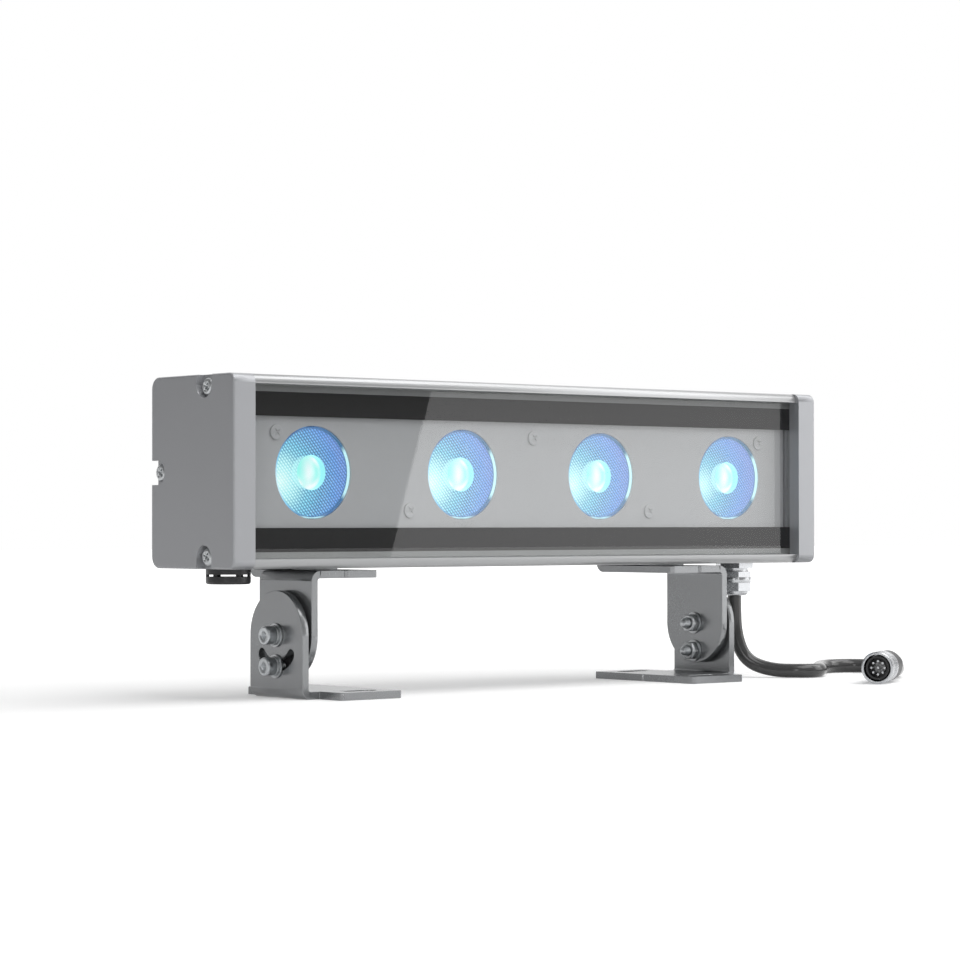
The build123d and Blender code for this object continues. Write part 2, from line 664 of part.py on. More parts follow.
def vent_post(turn, circle, width):
    """A round post between the vent's two discs, at a turn in degrees on a circle."""
    base_z = BASE - VENT_BASE_HEIGHT
    x = VENT_X + circle * math.cos(math.radians(turn))
    y = circle * math.sin(math.radians(turn))
    return disc_z(width / 2, base_z - VENT_SLIT, base_z, x, y)


def vent_seal():
    """Rubber ring in the vent's groove, against the housing."""
    outer = VENT_SHANK_RADIUS + VENT_SEAL_SECTION
    ring = disc_z(outer, BASE - VENT_SEAL_SECTION, BASE, VENT_X)
    return ring - disc_z(VENT_SHANK_RADIUS, BASE - VENT_SEAL_SECTION, BASE, VENT_X)


# ---- Cable gland ----
GLAND_NECK_TOP = BASE - GLAND_FLANGE_HEIGHT
GLAND_BODY_TOP = GLAND_NECK_TOP - GLAND_NECK_HEIGHT
GLAND_COLLAR_TOP = GLAND_BODY_TOP - GLAND_BODY_HEIGHT
GLAND_NUT_TOP = GLAND_COLLAR_TOP - GLAND_COLLAR_HEIGHT
GLAND_BOTTOM = GLAND_NUT_TOP - GLAND_NUT_HEIGHT
GLAND_BORE_RADIUS = SEAL_CORE_RADIUS + GLAND_SEAL_WALL


def hex_z(across_flats, z0, z1):
    """A hexagonal slab round the gland's axis."""
    return Pos(GLAND_X, 0, z0) * extrude(hexagon(across_flats), z1 - z0)


def gland_body():
    """Threaded metal body: mounting hexagon, neck, spanner hexagon and collar."""
    body = disc_z(GLAND_THREAD_RADIUS, BASE, BASE + GLAND_THREAD_LENGTH, GLAND_X)
    body += hex_z(GLAND_HEX_WIDE, GLAND_NECK_TOP, BASE)
    body += disc_z(GLAND_NECK_RADIUS, GLAND_BODY_TOP, GLAND_NECK_TOP, GLAND_X)
    body += hex_z(GLAND_HEX_NARROW, GLAND_COLLAR_TOP, GLAND_BODY_TOP)
    body += disc_z(GLAND_HEX_WIDE / 2, GLAND_NUT_TOP, GLAND_COLLAR_TOP, GLAND_X)
    bore = CORD_RADIUS + GLAND_CORD_CLEARANCE
    body -= disc_z(bore, GLAND_COLLAR_TOP, BASE + GLAND_THREAD_LENGTH, GLAND_X)
    return body - disc_z(GLAND_BORE_RADIUS, GLAND_NUT_TOP, GLAND_COLLAR_TOP, GLAND_X)


def gland_nut():
    """Dome nut that presses the seal on the cord."""
    hole = CORD_RADIUS + GLAND_CORD_CLEARANCE
    nut = hex_z(GLAND_HEX_NARROW, GLAND_BOTTOM + GLAND_NUT_CROWN, GLAND_NUT_TOP)
    crown = disc_z(GLAND_NECK_RADIUS, GLAND_BOTTOM, GLAND_BOTTOM + GLAND_NUT_CROWN, GLAND_X)
    nut += fillet(crown.faces().sort_by(Axis.Z)[0].edges(), GLAND_NUT_ROUNDING)
    seat = GLAND_BOTTOM + GLAND_NUT_CROWN
    nut -= disc_z(GLAND_BORE_RADIUS, seat, GLAND_NUT_TOP, GLAND_X)
    return nut - disc_z(hole, GLAND_BOTTOM, seat, GLAND_X)


def gland_seal():
    """Rubber sleeve squeezed round the cord inside the gland."""
    seat = GLAND_BOTTOM + GLAND_NUT_CROWN
    sleeve = disc_z(GLAND_BORE_RADIUS, seat, GLAND_COLLAR_TOP, GLAND_X)
    return sleeve - disc_z(SEAL_CORE_RADIUS, seat, GLAND_COLLAR_TOP, GLAND_X)


# ---- Brackets of the head ----
def angle_section(outer_x, inner_x, face_z, leg_end_z, foot_side):
    """An L of sheet metal in X-Z: a leg inside outer_x and a flange at face_z, with its bend."""
    away = 1 if leg_end_z > face_z else -1
    flange_back = face_z + away * SHEET
    low, high = sorted((face_z, leg_end_z))
    leg = Pos(outer_x - SHEET / 2, (low + high) / 2) * Rectangle(SHEET, high - low)
    z0, z1 = sorted((face_z, flange_back))
    centre_x = (inner_x + outer_x) / 2
    flange = Pos(centre_x, (z0 + z1) / 2) * Rectangle(outer_x - inner_x, z1 - z0)
    outline = leg + flange
    corner = Vector(outer_x, face_z, 0)
    inner = Vector(outer_x - SHEET, flange_back, 0)
    near = outline.vertices().sort_by_distance(corner)[0]
    outline = fillet(near, BEND_RADIUS)
    near = outline.vertices().sort_by_distance(inner)[0]
    return fillet(near, foot_side)


def along_y(section, y0, y1):
    """An X-Z cross-section extruded from y0 to y1."""
    return Pos(0, y1, 0) * extrude(Plane.XZ * section, y1 - y0)


def leg_end_cutter(outer_x, toward):
    """Everything outside the leg's round end, beyond the pivot's height."""
    half = LEG_WIDTH / 2
    reach = 2 * half
    end = PIVOT_HEIGHT + toward * reach
    low, high = sorted((PIVOT_HEIGHT, end))
    waste = bar(-reach, reach, low, high) - Pos(0, PIVOT_HEIGHT) * Circle(half)
    return along_x(waste, outer_x - SHEET, outer_x)


def edge_notch(x, y, depth):
    """A square set cornerwise: it cuts a V into a straight edge and a chamfer off a corner."""
    side = depth * math.sqrt(2)
    return Pos(x, y) * Rot(0, 0, 45) * Rectangle(side, side)


def head_bracket():
    """Right bracket of the head: leg, flange under the housing and lip behind it."""
    half = LEG_WIDTH / 2
    leg_end = PIVOT_HEIGHT - half
    section = angle_section(BRACKET_OUTER_X, HEAD_BRACKET_INNER_X, FLANGE_TOP, leg_end, INNER_BEND)
    bracket = along_y(section, -half, half)
    bracket -= leg_end_cutter(BRACKET_OUTER_X, -1)
    lip_back = BACK + SHEET
    lip_top = BASE + LIP_HEIGHT
    side = bar(half, lip_back, FLANGE_BOTTOM, FLANGE_TOP)
    side += bar(BACK, lip_back, FLANGE_BOTTOM, lip_top)
    corner = side.vertices().sort_by_distance(Vector(lip_back, FLANGE_BOTTOM, 0))[0]
    side = fillet(corner, BEND_RADIUS)
    bracket += along_x(side, HEAD_BRACKET_INNER_X, HEAD_BRACKET_SHOULDER_X)
    mark_x = (HEAD_BRACKET_INNER_X + BRACKET_OUTER_X) / 2
    cuts = edge_notch(mark_x, -half, NOTCH_MARK)
    cuts += edge_notch(HEAD_BRACKET_INNER_X, -half, HEAD_BRACKET_CORNER)
    bracket -= Pos(0, 0, FLANGE_BOTTOM) * extrude(cuts, SHEET)
    for z, hole in (
        (PIVOT_HEIGHT, BOLT_RADIUS + PIVOT_CLEARANCE),
        (LOCK_HEIGHT, BOLT_RADIUS + THREAD_PLAY),
    ):
        bracket -= rod_x(hole, BRACKET_INNER_FACE, BRACKET_OUTER_X, 0, z)
    return bracket - countersunk_screw(SCREW_CLEARANCE)


def countersunk_screw(clearance=0.0):
    """Screw from below, through flange and spacer into the housing's bottom wall."""
    radius = BRACKET_SCREW_RADIUS + clearance
    head_radius = BRACKET_SCREW_HEAD_RADIUS + clearance
    cone_height = BRACKET_SCREW_HEAD_RADIUS - BRACKET_SCREW_RADIUS
    end = FLANGE_BOTTOM + BRACKET_SCREW_LENGTH
    head = Pos(BRACKET_SCREW_X, 0, FLANGE_BOTTOM + cone_height / 2)
    head *= Cone(head_radius, radius, cone_height)
    return head + disc_z(radius, FLANGE_BOTTOM, end, BRACKET_SCREW_X)


def bracket_spacer():
    """Strip with round ends that keeps the flange clear of the housing."""
    middle = SPACER_LENGTH / 2 - SPACER_RADIUS
    strip = Pos(0, middle) * SlotOverall(SPACER_LENGTH, 2 * SPACER_RADIUS, rotation=90)
    strip -= Circle(BRACKET_SCREW_RADIUS + SCREW_CLEARANCE)
    return Pos(BRACKET_SCREW_X, 0, FLANGE_TOP) * extrude(strip, HEAD_BRACKET_GAP)


# ---- Feet ----
def foot_outline():
    """Foot plate seen from above: broad pad with slots, necked down to the leg."""
    half = LEG_WIDTH / 2
    pad_x = (FOOT_INNER_X + FOOT_SHOULDER_X) / 2
    pad = Pos(pad_x, 0) * Rectangle(FOOT_SHOULDER_X - FOOT_INNER_X, FOOT_DEPTH)
    pad = chamfer(pad.vertices(), FOOT_CORNER)
    for y in (-FOOT_SLOT_SPACING / 2, FOOT_SLOT_SPACING / 2):
        pad -= Pos(FOOT_SLOT_X, y) * SlotOverall(FOOT_SLOT_LENGTH, 2 * FOOT_SLOT_RADIUS)
    neck_x = (pad_x + FOOT_OUTER_X) / 2
    pad += Pos(neck_x, 0) * Rectangle(FOOT_OUTER_X - pad_x, 2 * half)
    return pad - edge_notch(FOOT_INNER_X, 0, NOTCH_MARK)


def lock_slot():
    """Arc slot round the pivot, as long as the tilt range needs."""
    sweep = TILT_LIMIT + SLOT_END_PLAY
    width = BOLT_RADIUS + SCREW_CLEARANCE
    ring = Circle(LOCK_RADIUS + width) - Circle(LOCK_RADIUS - width)
    far = 3 * LOCK_RADIUS
    edge = Vector(0, -far, 0)
    left, right = edge.rotate(Axis.Z, -sweep), edge.rotate(Axis.Z, sweep)
    wedge = make_face(Polyline((0, 0), left, (0, -2 * far), right, (0, 0)))
    slot = ring & wedge
    for turn in (-sweep, sweep):
        tip = Vector(0, -LOCK_RADIUS, 0).rotate(Axis.Z, turn)
        slot += Pos(tip.X, tip.Y) * Circle(width)
    return Pos(0, PIVOT_HEIGHT) * slot


def foot_bracket():
    """Right foot: pad on the surface and a leg outside the head's bracket."""
    half = LEG_WIDTH / 2
    section = angle_section(FOOT_OUTER_X, FOOT_INNER_X, 0.0, PIVOT_HEIGHT + half, INNER_BEND)
    foot = along_y(section, -FOOT_DEPTH / 2, FOOT_DEPTH / 2)
    plan = extrude(foot_outline(), PIVOT_HEIGHT + half)
    foot &= plan
    foot -= leg_end_cutter(FOOT_OUTER_X, 1)
    foot -= along_x(lock_slot(), FOOT_INNER_FACE, FOOT_OUTER_X)
    hole = BOLT_RADIUS + THREAD_PLAY
    return foot - rod_x(hole, FOOT_INNER_FACE, FOOT_OUTER_X, 0, PIVOT_HEIGHT)


# ---- Tilt fasteners, each drawn for the right side ----
def socket_bolt(z):
    """Socket head cap screw that clamps both legs, head outwards."""
    end = BOLT_SEAT + BOLT_HEAD_HEIGHT
    tip = NUT_SEAT - NUT_HEIGHT - BOLT_STICK_OUT
    head = rod_x(BOLT_HEAD_RADIUS, BOLT_SEAT, end, 0, z)
    head = fillet(head.faces().sort_by(Axis.X)[-1].edges(), BOLT_HEAD_EDGE)
    head -= along_x(Pos(0, z) * hexagon(BOLT_SOCKET), end - BOLT_SOCKET_DEPTH, end)
    return head + rod_x(BOLT_RADIUS, tip, BOLT_SEAT, 0, z)


def washer(radius, x0, x1, z):
    """A flat ring on a bolt, from x0 to x1."""
    hole = BOLT_RADIUS + THREAD_PLAY
    return rod_x(radius, x0, x1, 0, z) - rod_x(hole, x0, x1, 0, z)


def bolt_washers(z):
    """Flat and spring washer under the bolt head, and a flat washer under the nut."""
    return joined([
        washer(WASHER_RADIUS, WASHER_SEAT, SPRING_WASHER_SEAT, z),
        washer(SPRING_WASHER_RADIUS, SPRING_WASHER_SEAT, BOLT_SEAT, z),
        washer(WASHER_RADIUS, NUT_SEAT, NUT_WASHER_SEAT, z),
    ])


def leg_washers():
    """Two plastic washers that keep the legs apart, so that they turn without scraping."""
    return joined([
        washer(LEG_WASHER_RADIUS, LEG_WASHER_INNER_X, LEG_WASHER_OUTER_X, PIVOT_HEIGHT),
        washer(LEG_WASHER_RADIUS, LEG_WASHER_INNER_X, LEG_WASHER_OUTER_X, LOCK_HEIGHT),
    ])


def hex_nut(z):
    """Nut on the inner side of the head's leg."""
    section = Pos(0, z) * (hexagon(NUT_WIDTH) - Circle(BOLT_RADIUS + THREAD_PLAY))
    return along_x(section, NUT_SEAT - NUT_HEIGHT, NUT_SEAT)


def both_sides(maker, *values):
    """The same fastener on the right and on the left."""
    right = maker(*values)
    return joined([right, mirrored(right)])


# ---- Supply cord ----
def cord_points():
    """The route's corners, laid out from the gland's axis."""
    return [Vector(GLAND_X + x, y, z) for x, y, z in CORD_ROUTE]


def cord_radii():
    """Each arc of the route is as large as its two runs allow."""
    points = cord_points()
    radii = []
    for before, here, after in zip(points, points[1:], points[2:]):
        first, second = here - before, after - here
        half_turn = math.radians(first.get_angle(second)) / 2
        shorter = min(first.length, second.length)
        radii.append(0.45 * shorter / math.tan(half_turn))
    return radii


def supply_cord():
    """Round rubber cord from inside the gland to the plug."""
    radii = cord_radii()
    route = FilletPolyline(*cord_points(), radius=radii)
    start = Plane(origin=route @ 0, z_dir=route % 0)
    cord = sweep(start * Circle(CORD_RADIUS), path=route)
    expected = math.pi * CORD_RADIUS**2 * route.length
    print("cord arcs", [round(r, 1) for r in radii])
    print("cord length", round(route.length, 1), "volume ratio", round(cord.volume / expected, 4))
    return cord


# ---- Plug connector: its axis is drawn along +X from the mating face, then laid in place ----
def plug_place(shape):
    """Lays a piece drawn along X on the surface, heading away from its mating face."""
    x, y = PLUG_FACE
    return Pos(GLAND_X + x, y, PLUG_AXIS_HEIGHT) * Rot(0, 0, PLUG_HEADING) * shape


def turned_x(points):
    """A solid of revolution about X from (x, radius) points of its outline."""
    outline = make_face(Polyline(*[(x, r) for x, r in points], close=True))
    return revolve(outline, Axis.X)


def connector_body():
    """Moulded grip with finger grooves and a tapered tail; its neck carries the ring."""
    grip_end = RING_LENGTH + RING_PLAY + PLUG_GRIP_LENGTH
    neck_start = RING_LENGTH - RING_SHOULDER - RING_PLAY
    start = RING_LENGTH + RING_PLAY
    points = [
        (neck_start, 0),
        (neck_start, PLUG_NECK_RADIUS),
        (start, PLUG_NECK_RADIUS),
        (start, PLUG_RADIUS - PLUG_CHAMFER),
        (start + PLUG_CHAMFER, PLUG_RADIUS),
        (grip_end - PLUG_SHOULDER, PLUG_RADIUS),
        (grip_end, PLUG_RADIUS - PLUG_SHOULDER_DROP),
        (PLUG_LENGTH, PLUG_TAIL_RADIUS),
        (PLUG_LENGTH, 0),
    ]
    body = turned_x(points)
    socket = extrude(Plane.YZ * Circle(CORD_RADIUS + PLUG_CORD_PLAY), PLUG_CORD_DEPTH)
    return plug_place(body - Pos(PLUG_LENGTH - PLUG_CORD_DEPTH, 0, 0) * socket)


def coupling_ring():
    """Metal screw ring, free to spin on the neck, held by the insert's flange."""
    shoulder = RING_LENGTH - RING_SHOULDER
    bore = PLUG_NECK_RADIUS + RING_PLAY
    points = [
        (0, RING_BORE_RADIUS),
        (0, RING_RADIUS - RING_CHAMFER),
        (RING_CHAMFER, RING_RADIUS),
        (RING_LENGTH - RING_CHAMFER, RING_RADIUS),
        (RING_LENGTH, RING_RADIUS - RING_CHAMFER),
        (RING_LENGTH, bore),
        (shoulder, bore),
        (shoulder, RING_BORE_RADIUS),
    ]
    ring = turned_x(points)
    groove = Circle(RING_RADIUS) - Circle(RING_RADIUS - RING_GROOVE_DEPTH)
    for i in range(RING_GROOVES):
        x = RING_GROOVE_START + RING_GROOVE_PITCH * i
        ring -= along_x(groove, x, x + RING_GROOVE_WIDTH)
    return plug_place(ring)


def connector_insert():
    """Insulating insert with a dished front and a flange that keeps the ring on."""
    back = RING_LENGTH - RING_SHOULDER - RING_PLAY
    flange = back - INSERT_FLANGE
    floor = INSERT_SETBACK + INSERT_RECESS_DEPTH
    points = [
        (floor, 0),
        (floor, INSERT_RECESS_RADIUS),
        (INSERT_SETBACK, INSERT_RECESS_RADIUS),
        (INSERT_SETBACK, INSERT_RADIUS),
        (flange, INSERT_RADIUS),
        (flange, INSERT_FLANGE_RADIUS),
        (back, INSERT_FLANGE_RADIUS),
        (back, 0),
    ]
    return plug_place(turned_x(points))


def connector_pins():
    """Contact pins: a ring of them round a middle one."""
    floor = INSERT_SETBACK + INSERT_RECESS_DEPTH
    places = [(0.0, 0.0)]
    for i in range(PIN_COUNT):
        angle = 2 * math.pi * i / PIN_COUNT
        places.append((PIN_CIRCLE * math.cos(angle), PIN_CIRCLE * math.sin(angle)))
    pins = []
    for y, z in places:
        pin = rod_x(PIN_RADIUS, floor - PIN_LENGTH, floor, y, z)
        pins.append(plug_place(pin))
    return joined(pins)


# ---- Assembly ----
def all_nodes():
    """Every piece by its name."""
    cap, gasket, screws = end_cap(), end_gasket(), cap_screws()
    bracket, foot = head_bracket(), foot_bracket()
    nodes = {
        "housing_profile": housing_profile(),
        "end_cap_right": cap,
        "end_cap_left": mirrored(cap),
        "end_gasket_right": gasket,
        "end_gasket_left": mirrored(gasket),
        "cap_screws_right": screws,
        "cap_screws_left": mirrored(screws),
        "front_glass": front_glass(),
        "glass_seal": glass_seal(),
        "glass_border": glass_border(),
        "lens_plate": lens_plate(),
        "plate_screws": plate_screws(),
        "plate_standoffs": plate_standoffs(),
        "led_board": board_with_holes(LED_BOARD_FRONT, BOARD_THICKNESS),
        "thermal_pad": board_with_holes(PAD_FRONT, PAD_THICKNESS),
        "driver_board": driver_board(),
        "driver_parts": driver_parts(),
        "vent_plug": vent_plug(),
        "vent_seal": vent_seal(),
        "gland_body": gland_body(),
        "gland_nut": gland_nut(),
        "gland_seal": gland_seal(),
        "head_bracket_right": bracket,
        "head_bracket_left": mirrored(bracket),
        "bracket_screws": both_sides(countersunk_screw),
        "bracket_spacers": both_sides(bracket_spacer),
        "leg_washers": both_sides(leg_washers),
        "lock_bolts": both_sides(socket_bolt, LOCK_HEIGHT),
        "lock_washers": both_sides(bolt_washers, LOCK_HEIGHT),
        "lock_nuts": both_sides(hex_nut, LOCK_HEIGHT),
        "foot_bracket_right": foot,
        "foot_bracket_left": mirrored(foot),
        "pivot_bolts": both_sides(socket_bolt, PIVOT_HEIGHT),
        "pivot_washers": both_sides(bolt_washers, PIVOT_HEIGHT),
        "pivot_nuts": both_sides(hex_nut, PIVOT_HEIGHT),
        "supply_cord": supply_cord(),
        "connector_body": connector_body(),
        "connector_insert": connector_insert(),
        "connector_pins": connector_pins(),
        "coupling_ring": coupling_ring(),
    }
    for number, x in enumerate(LENS_XS, start=1):
        nodes[f"lens_{number}"] = lens(x)
        nodes[f"lens_holder_{number}"] = lens_holder(x)
        nodes[f"led_{number}"] = led(x)
    return nodes


os.makedirs("parts", exist_ok=True)
for name, shape in all_nodes().items():
    export_step(shape, f"parts/{name}.step")
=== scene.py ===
"""Linear outdoor wall washer light: finishes, supply cord and fine detail round its CAD frame."""
import math

import bpy
import numpy as np
from mathutils import Euler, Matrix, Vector


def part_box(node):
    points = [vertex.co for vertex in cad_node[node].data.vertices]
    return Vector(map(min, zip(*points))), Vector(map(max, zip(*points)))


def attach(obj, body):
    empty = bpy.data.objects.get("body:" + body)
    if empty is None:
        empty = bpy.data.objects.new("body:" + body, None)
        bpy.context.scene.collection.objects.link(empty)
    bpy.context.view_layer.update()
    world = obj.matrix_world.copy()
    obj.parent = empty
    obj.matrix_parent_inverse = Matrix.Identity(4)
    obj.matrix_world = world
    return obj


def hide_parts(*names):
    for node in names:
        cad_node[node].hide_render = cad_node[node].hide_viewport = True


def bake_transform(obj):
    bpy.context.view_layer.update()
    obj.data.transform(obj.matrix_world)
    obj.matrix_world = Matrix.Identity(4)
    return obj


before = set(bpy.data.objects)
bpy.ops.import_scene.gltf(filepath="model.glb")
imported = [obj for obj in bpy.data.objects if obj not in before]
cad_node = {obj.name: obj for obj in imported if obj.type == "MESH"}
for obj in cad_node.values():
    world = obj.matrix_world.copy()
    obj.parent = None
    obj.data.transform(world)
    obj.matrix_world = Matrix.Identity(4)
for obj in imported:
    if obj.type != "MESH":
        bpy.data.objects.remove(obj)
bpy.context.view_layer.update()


# ---- Camera ----
# A long lens at the left front, level with the middle of the feet and housing, looking along
# the lit front so that the left end cap and the front glass both show.
CAMERA_PLACE = (-0.7794, -0.9229, 0.0657)
CAMERA_YAW = 39.719
CAMERA_PITCH = 0.876
CAMERA_ROLL = -0.06
CAMERA_LENS = 111.66
CAMERA_SENSOR = 36.0

camera_data = bpy.data.cameras.new("camera")
camera_data.lens = CAMERA_LENS
camera_data.sensor_width = CAMERA_SENSOR
camera = bpy.data.objects.new("camera", camera_data)
bpy.context.scene.collection.objects.link(camera)
camera.location = CAMERA_PLACE
turn = Euler((math.radians(90 + CAMERA_PITCH), 0, math.radians(-CAMERA_YAW)), "XYZ")
roll = Euler((0, 0, math.radians(CAMERA_ROLL)), "XYZ")
camera.rotation_euler = (turn.to_matrix() @ roll.to_matrix()).to_euler()
bpy.context.scene.camera = camera
bpy.context.scene.view_settings.view_transform = "Standard"


# ---- Studio floor, backdrop and lamps ----
# A white sweep behind the light, bright to the eye and in its metal, with soft shadows near its
# feet. The room in front is grey and dims to the left, and the glass mirrors the tall softbox
# at the right.
FLOOR_SIZE = 12.0
FLOOR_ROUGHNESS = 0.9
FLOOR_GLOW = 0.28
FLOOR_FADE = (0.35, 1.3)
FLOOR_WHITE = 0.86
FLOOR_BOUNCE = 0.45
SWEEP_BEHIND = (0.1, 0.5)
SWEEP_RIGHT = (-0.4, 0.2)
ROOM_DIMS = (-0.6, 0.0)
ROOM_GREY = 0.42
LEFT_GREY = 0.24
WHITE = (1, 1, 1, 1)


def finish_tree(name):
    """A new material and its Principled shader, for one finish of the light."""
    finish = bpy.data.materials.new(name)
    finish.use_nodes = True
    return finish, finish.node_tree.nodes["Principled BSDF"]


def add_node(finish, kind, settings=None, **sockets):
    """A node whose sockets, named with _ for a space or numbered, take values or outputs."""
    made = finish.node_tree.nodes.new(kind)
    for name, value in (settings or {}).items():
        setattr(made, name, value)
    for name, value in sockets.items():
        key = int(name[1:]) if name[1:].isdigit() else name.replace("_", " ")
        if isinstance(value, bpy.types.NodeSocket):
            finish.node_tree.links.new(value, made.inputs[key])
        else:
            made.inputs[key].default_value = value
    return made


def settle(shader, **sockets):
    """Sets a shader's own sockets, named with _ for a space, to plain values."""
    for name, value in sockets.items():
        shader.inputs[name.replace("_", " ")].default_value = value


def join(finish, output, shader_input):
    """Links one output to one input."""
    finish.node_tree.links.new(output, shader_input)


def math_of(finish, operation, *values):
    """One Math operation, such as MAXIMUM or MULTIPLY, on two or three numbers or outputs."""
    sockets = {f"_{index}": value for index, value in enumerate(values)}
    return add_node(finish, "ShaderNodeMath", {"operation": operation}, **sockets).outputs[0]


def length_of(finish, vector):
    """How long a vector is."""
    measure = add_node(finish, "ShaderNodeVectorMath", {"operation": "LENGTH"}, _0=vector)
    return measure.outputs["Value"]


def ranged(finish, value, low, high, near=0.0, far=1.0):
    """A value stretched from near..far to low..high and held at both ends."""
    spread = add_node(
        finish, "ShaderNodeMapRange", Value=value, From_Min=near, From_Max=far, To_Min=low,
        To_Max=high)
    return spread.outputs[0]


def object_place(finish, scale=(1.0, 1.0, 1.0)):
    """The surface's own coordinates in metres, stretched by a Mapping node."""
    place = add_node(finish, "ShaderNodeTexCoord")
    stretch = add_node(finish, "ShaderNodeMapping", Vector=place.outputs["Object"], Scale=scale)
    return stretch.outputs["Vector"]


def mirrored_ray(finish):
    """1 for rays that a gloss mirrors or that clear glass lets through."""
    path = add_node(finish, "ShaderNodeLightPath")
    return math_of(
        finish, "MAXIMUM", path.outputs["Is Glossy Ray"], path.outputs["Is Transmission Ray"])


def eye_ray(finish):
    """1 for rays that come straight from the eye."""
    return add_node(finish, "ShaderNodeLightPath").outputs["Is Camera Ray"]


studio = bpy.data.worlds.new("studio")
bpy.context.scene.world = studio
studio.use_nodes = True
backdrop = studio.node_tree.nodes["Background"]
settle(backdrop, Color=WHITE)
# The sky is white to the eye, and behind and to the right also in mirrors; elsewhere it is grey.
sky_place = add_node(studio, "ShaderNodeTexCoord")
sky_parts = add_node(studio, "ShaderNodeSeparateXYZ", Vector=sky_place.outputs["Generated"])
sweep_behind = ranged(studio, sky_parts.outputs["Y"], 0.0, 1.0, *SWEEP_BEHIND)
sweep_right = ranged(studio, sky_parts.outputs["X"], 0.0, 1.0, *SWEEP_RIGHT)
sweep_side = math_of(studio, "MULTIPLY", sweep_behind, sweep_right)
sweep_mirrored = math_of(studio, "MULTIPLY", mirrored_ray(studio), sweep_side)
sweep_seen = math_of(studio, "MAXIMUM", eye_ray(studio), sweep_mirrored)
room_light = ranged(studio, sky_parts.outputs["X"], LEFT_GREY, ROOM_GREY, *ROOM_DIMS)
join(studio, ranged(studio, sweep_seen, room_light, 1.0), backdrop.inputs["Strength"])

floor_mesh = bpy.data.meshes.new("studio_floor")
half = FLOOR_SIZE / 2
floor_corners = [(-half, -half, 0), (half, -half, 0), (half, half, 0), (-half, half, 0)]
floor_mesh.from_pydata(floor_corners, [], [(0, 1, 2, 3)])
studio_floor = bpy.data.objects.new("studio_floor", floor_mesh)
bpy.context.scene.collection.objects.link(studio_floor)
floor_finish, floor_shader = finish_tree("white_floor")
settle(floor_shader, Roughness=FLOOR_ROUGHNESS, Specular_IOR_Level=0.0, Emission_Color=WHITE)
# The floor is darker to light that bounces, so that the undersides stay in shade.
floor_path = add_node(floor_finish, "ShaderNodeLightPath")
floor_tone = ranged(floor_finish, floor_path.outputs["Is Diffuse Ray"], FLOOR_WHITE, FLOOR_BOUNCE)
join(floor_finish, floor_tone, floor_shader.inputs["Base Color"])
# It glows to the eye and in mirrors, less near the middle, where the shadow lies.
floor_distance = length_of(floor_finish, object_place(floor_finish))
floor_fade = ranged(floor_finish, floor_distance, FLOOR_GLOW, 1.0, *FLOOR_FADE)
floor_seen = math_of(floor_finish, "MAXIMUM", eye_ray(floor_finish), mirrored_ray(floor_finish))
floor_glow = math_of(floor_finish, "MULTIPLY", floor_seen, floor_fade)
join(floor_finish, floor_glow, floor_shader.inputs["Emission Strength"])
floor_mesh.materials.append(floor_finish)


def softbox(name, place, aim, size, radiance, tilt=0.0):
    """A rectangular lamp that faces a point, turned by tilt about its normal. Its energy is its
    radiance times its area times pi."""
    lamp = bpy.data.lights.new(name, "AREA")
    lamp.shape = "RECTANGLE"
    lamp.size, lamp.size_y = size
    lamp.energy = radiance * math.pi * size[0] * size[1]
    box = bpy.data.objects.new(name, lamp)
    bpy.context.scene.collection.objects.link(box)
    box.location = place
    facing = (Vector(aim) - Vector(place)).to_track_quat("-Z", "Y").to_matrix()
    spin = Euler((0, 0, math.radians(tilt)), "XYZ").to_matrix()
    box.rotation_euler = (facing @ spin).to_euler()
    box.visible_camera = False


softbox("softbox_right", place=(1.994, -1.213, 0.586), aim=(0.0, 0.0, 0.25), size=(1.55, 2.2),
        radiance=1.6, tilt=-17.4)
softbox("softbox_top", place=(0.1, -0.8, 1.5), aim=(0.0, 0.0, 0.1), size=(1.5, 1.1),
        radiance=2.6)
softbox("softbox_top_right", place=(1.25, -0.15, 1.45), aim=(0.0, 0.0, 0.1), size=(0.9, 1.5),
        radiance=2.4)
softbox("softbox_left", place=(-1.45, -1.25, 0.5), aim=(-0.1, 0.0, 0.1), size=(0.35, 0.8),
        radiance=3.4)


# ---- Supply cord ----
# A round six millimetre rubber jacket on the light's one lead. The gland's seal grips it above;
# below, it drops to the surface, runs forward past the foot and loops round into its connector.
CORD_RADIUS = 0.003
CORD_SIDES = 28
CORD_STEPS = 14
CORD_ROUTE_MM = [
    (130.6, 0.0, 43.6),
    (130.6, 0.0, 30.5),
    (130.9, -0.3, 18.0),
    (133.2, -4.0, 7.2),
    (139.4, -13.1, 3.1),
    (146.7, -26.3, 3.1),
    (156.3, -26.4, 3.1),
    (165.3, -17.7, 3.1),
    (175.0, -7.5, 3.1),
    (186.3, -2.0, 3.1),
    (197.6, -4.9, 3.1),
    (202.4, -14.7, 3.1),
    (199.2, -26.4, 3.1),
    (191.7, -37.0, 3.1),
    (183.2, -46.4, 3.3),
    (175.6, -53.4, 5.0),
    (167.2, -59.3, 6.7),
    (159.6, -64.2, 6.7),
]
CORD_BLACKS = ((0.066, 0.066, 0.066), (0.082, 0.082, 0.082))
CORD_ROUGHNESS = (0.10, 0.18)
CORD_GRAIN_PER_METRE = 900.0
CORD_RELIEF = 0.0003
CORD_RELIEF_SHARE = 0.05


def noise(finish, place, per_metre, detail=2.0):
    """Soft random patches, so many to the metre, with finer ones in them as the detail grows."""
    made = add_node(
        finish, "ShaderNodeTexNoise", Vector=place, Scale=per_metre, Detail=detail)
    return made.outputs["Fac"]


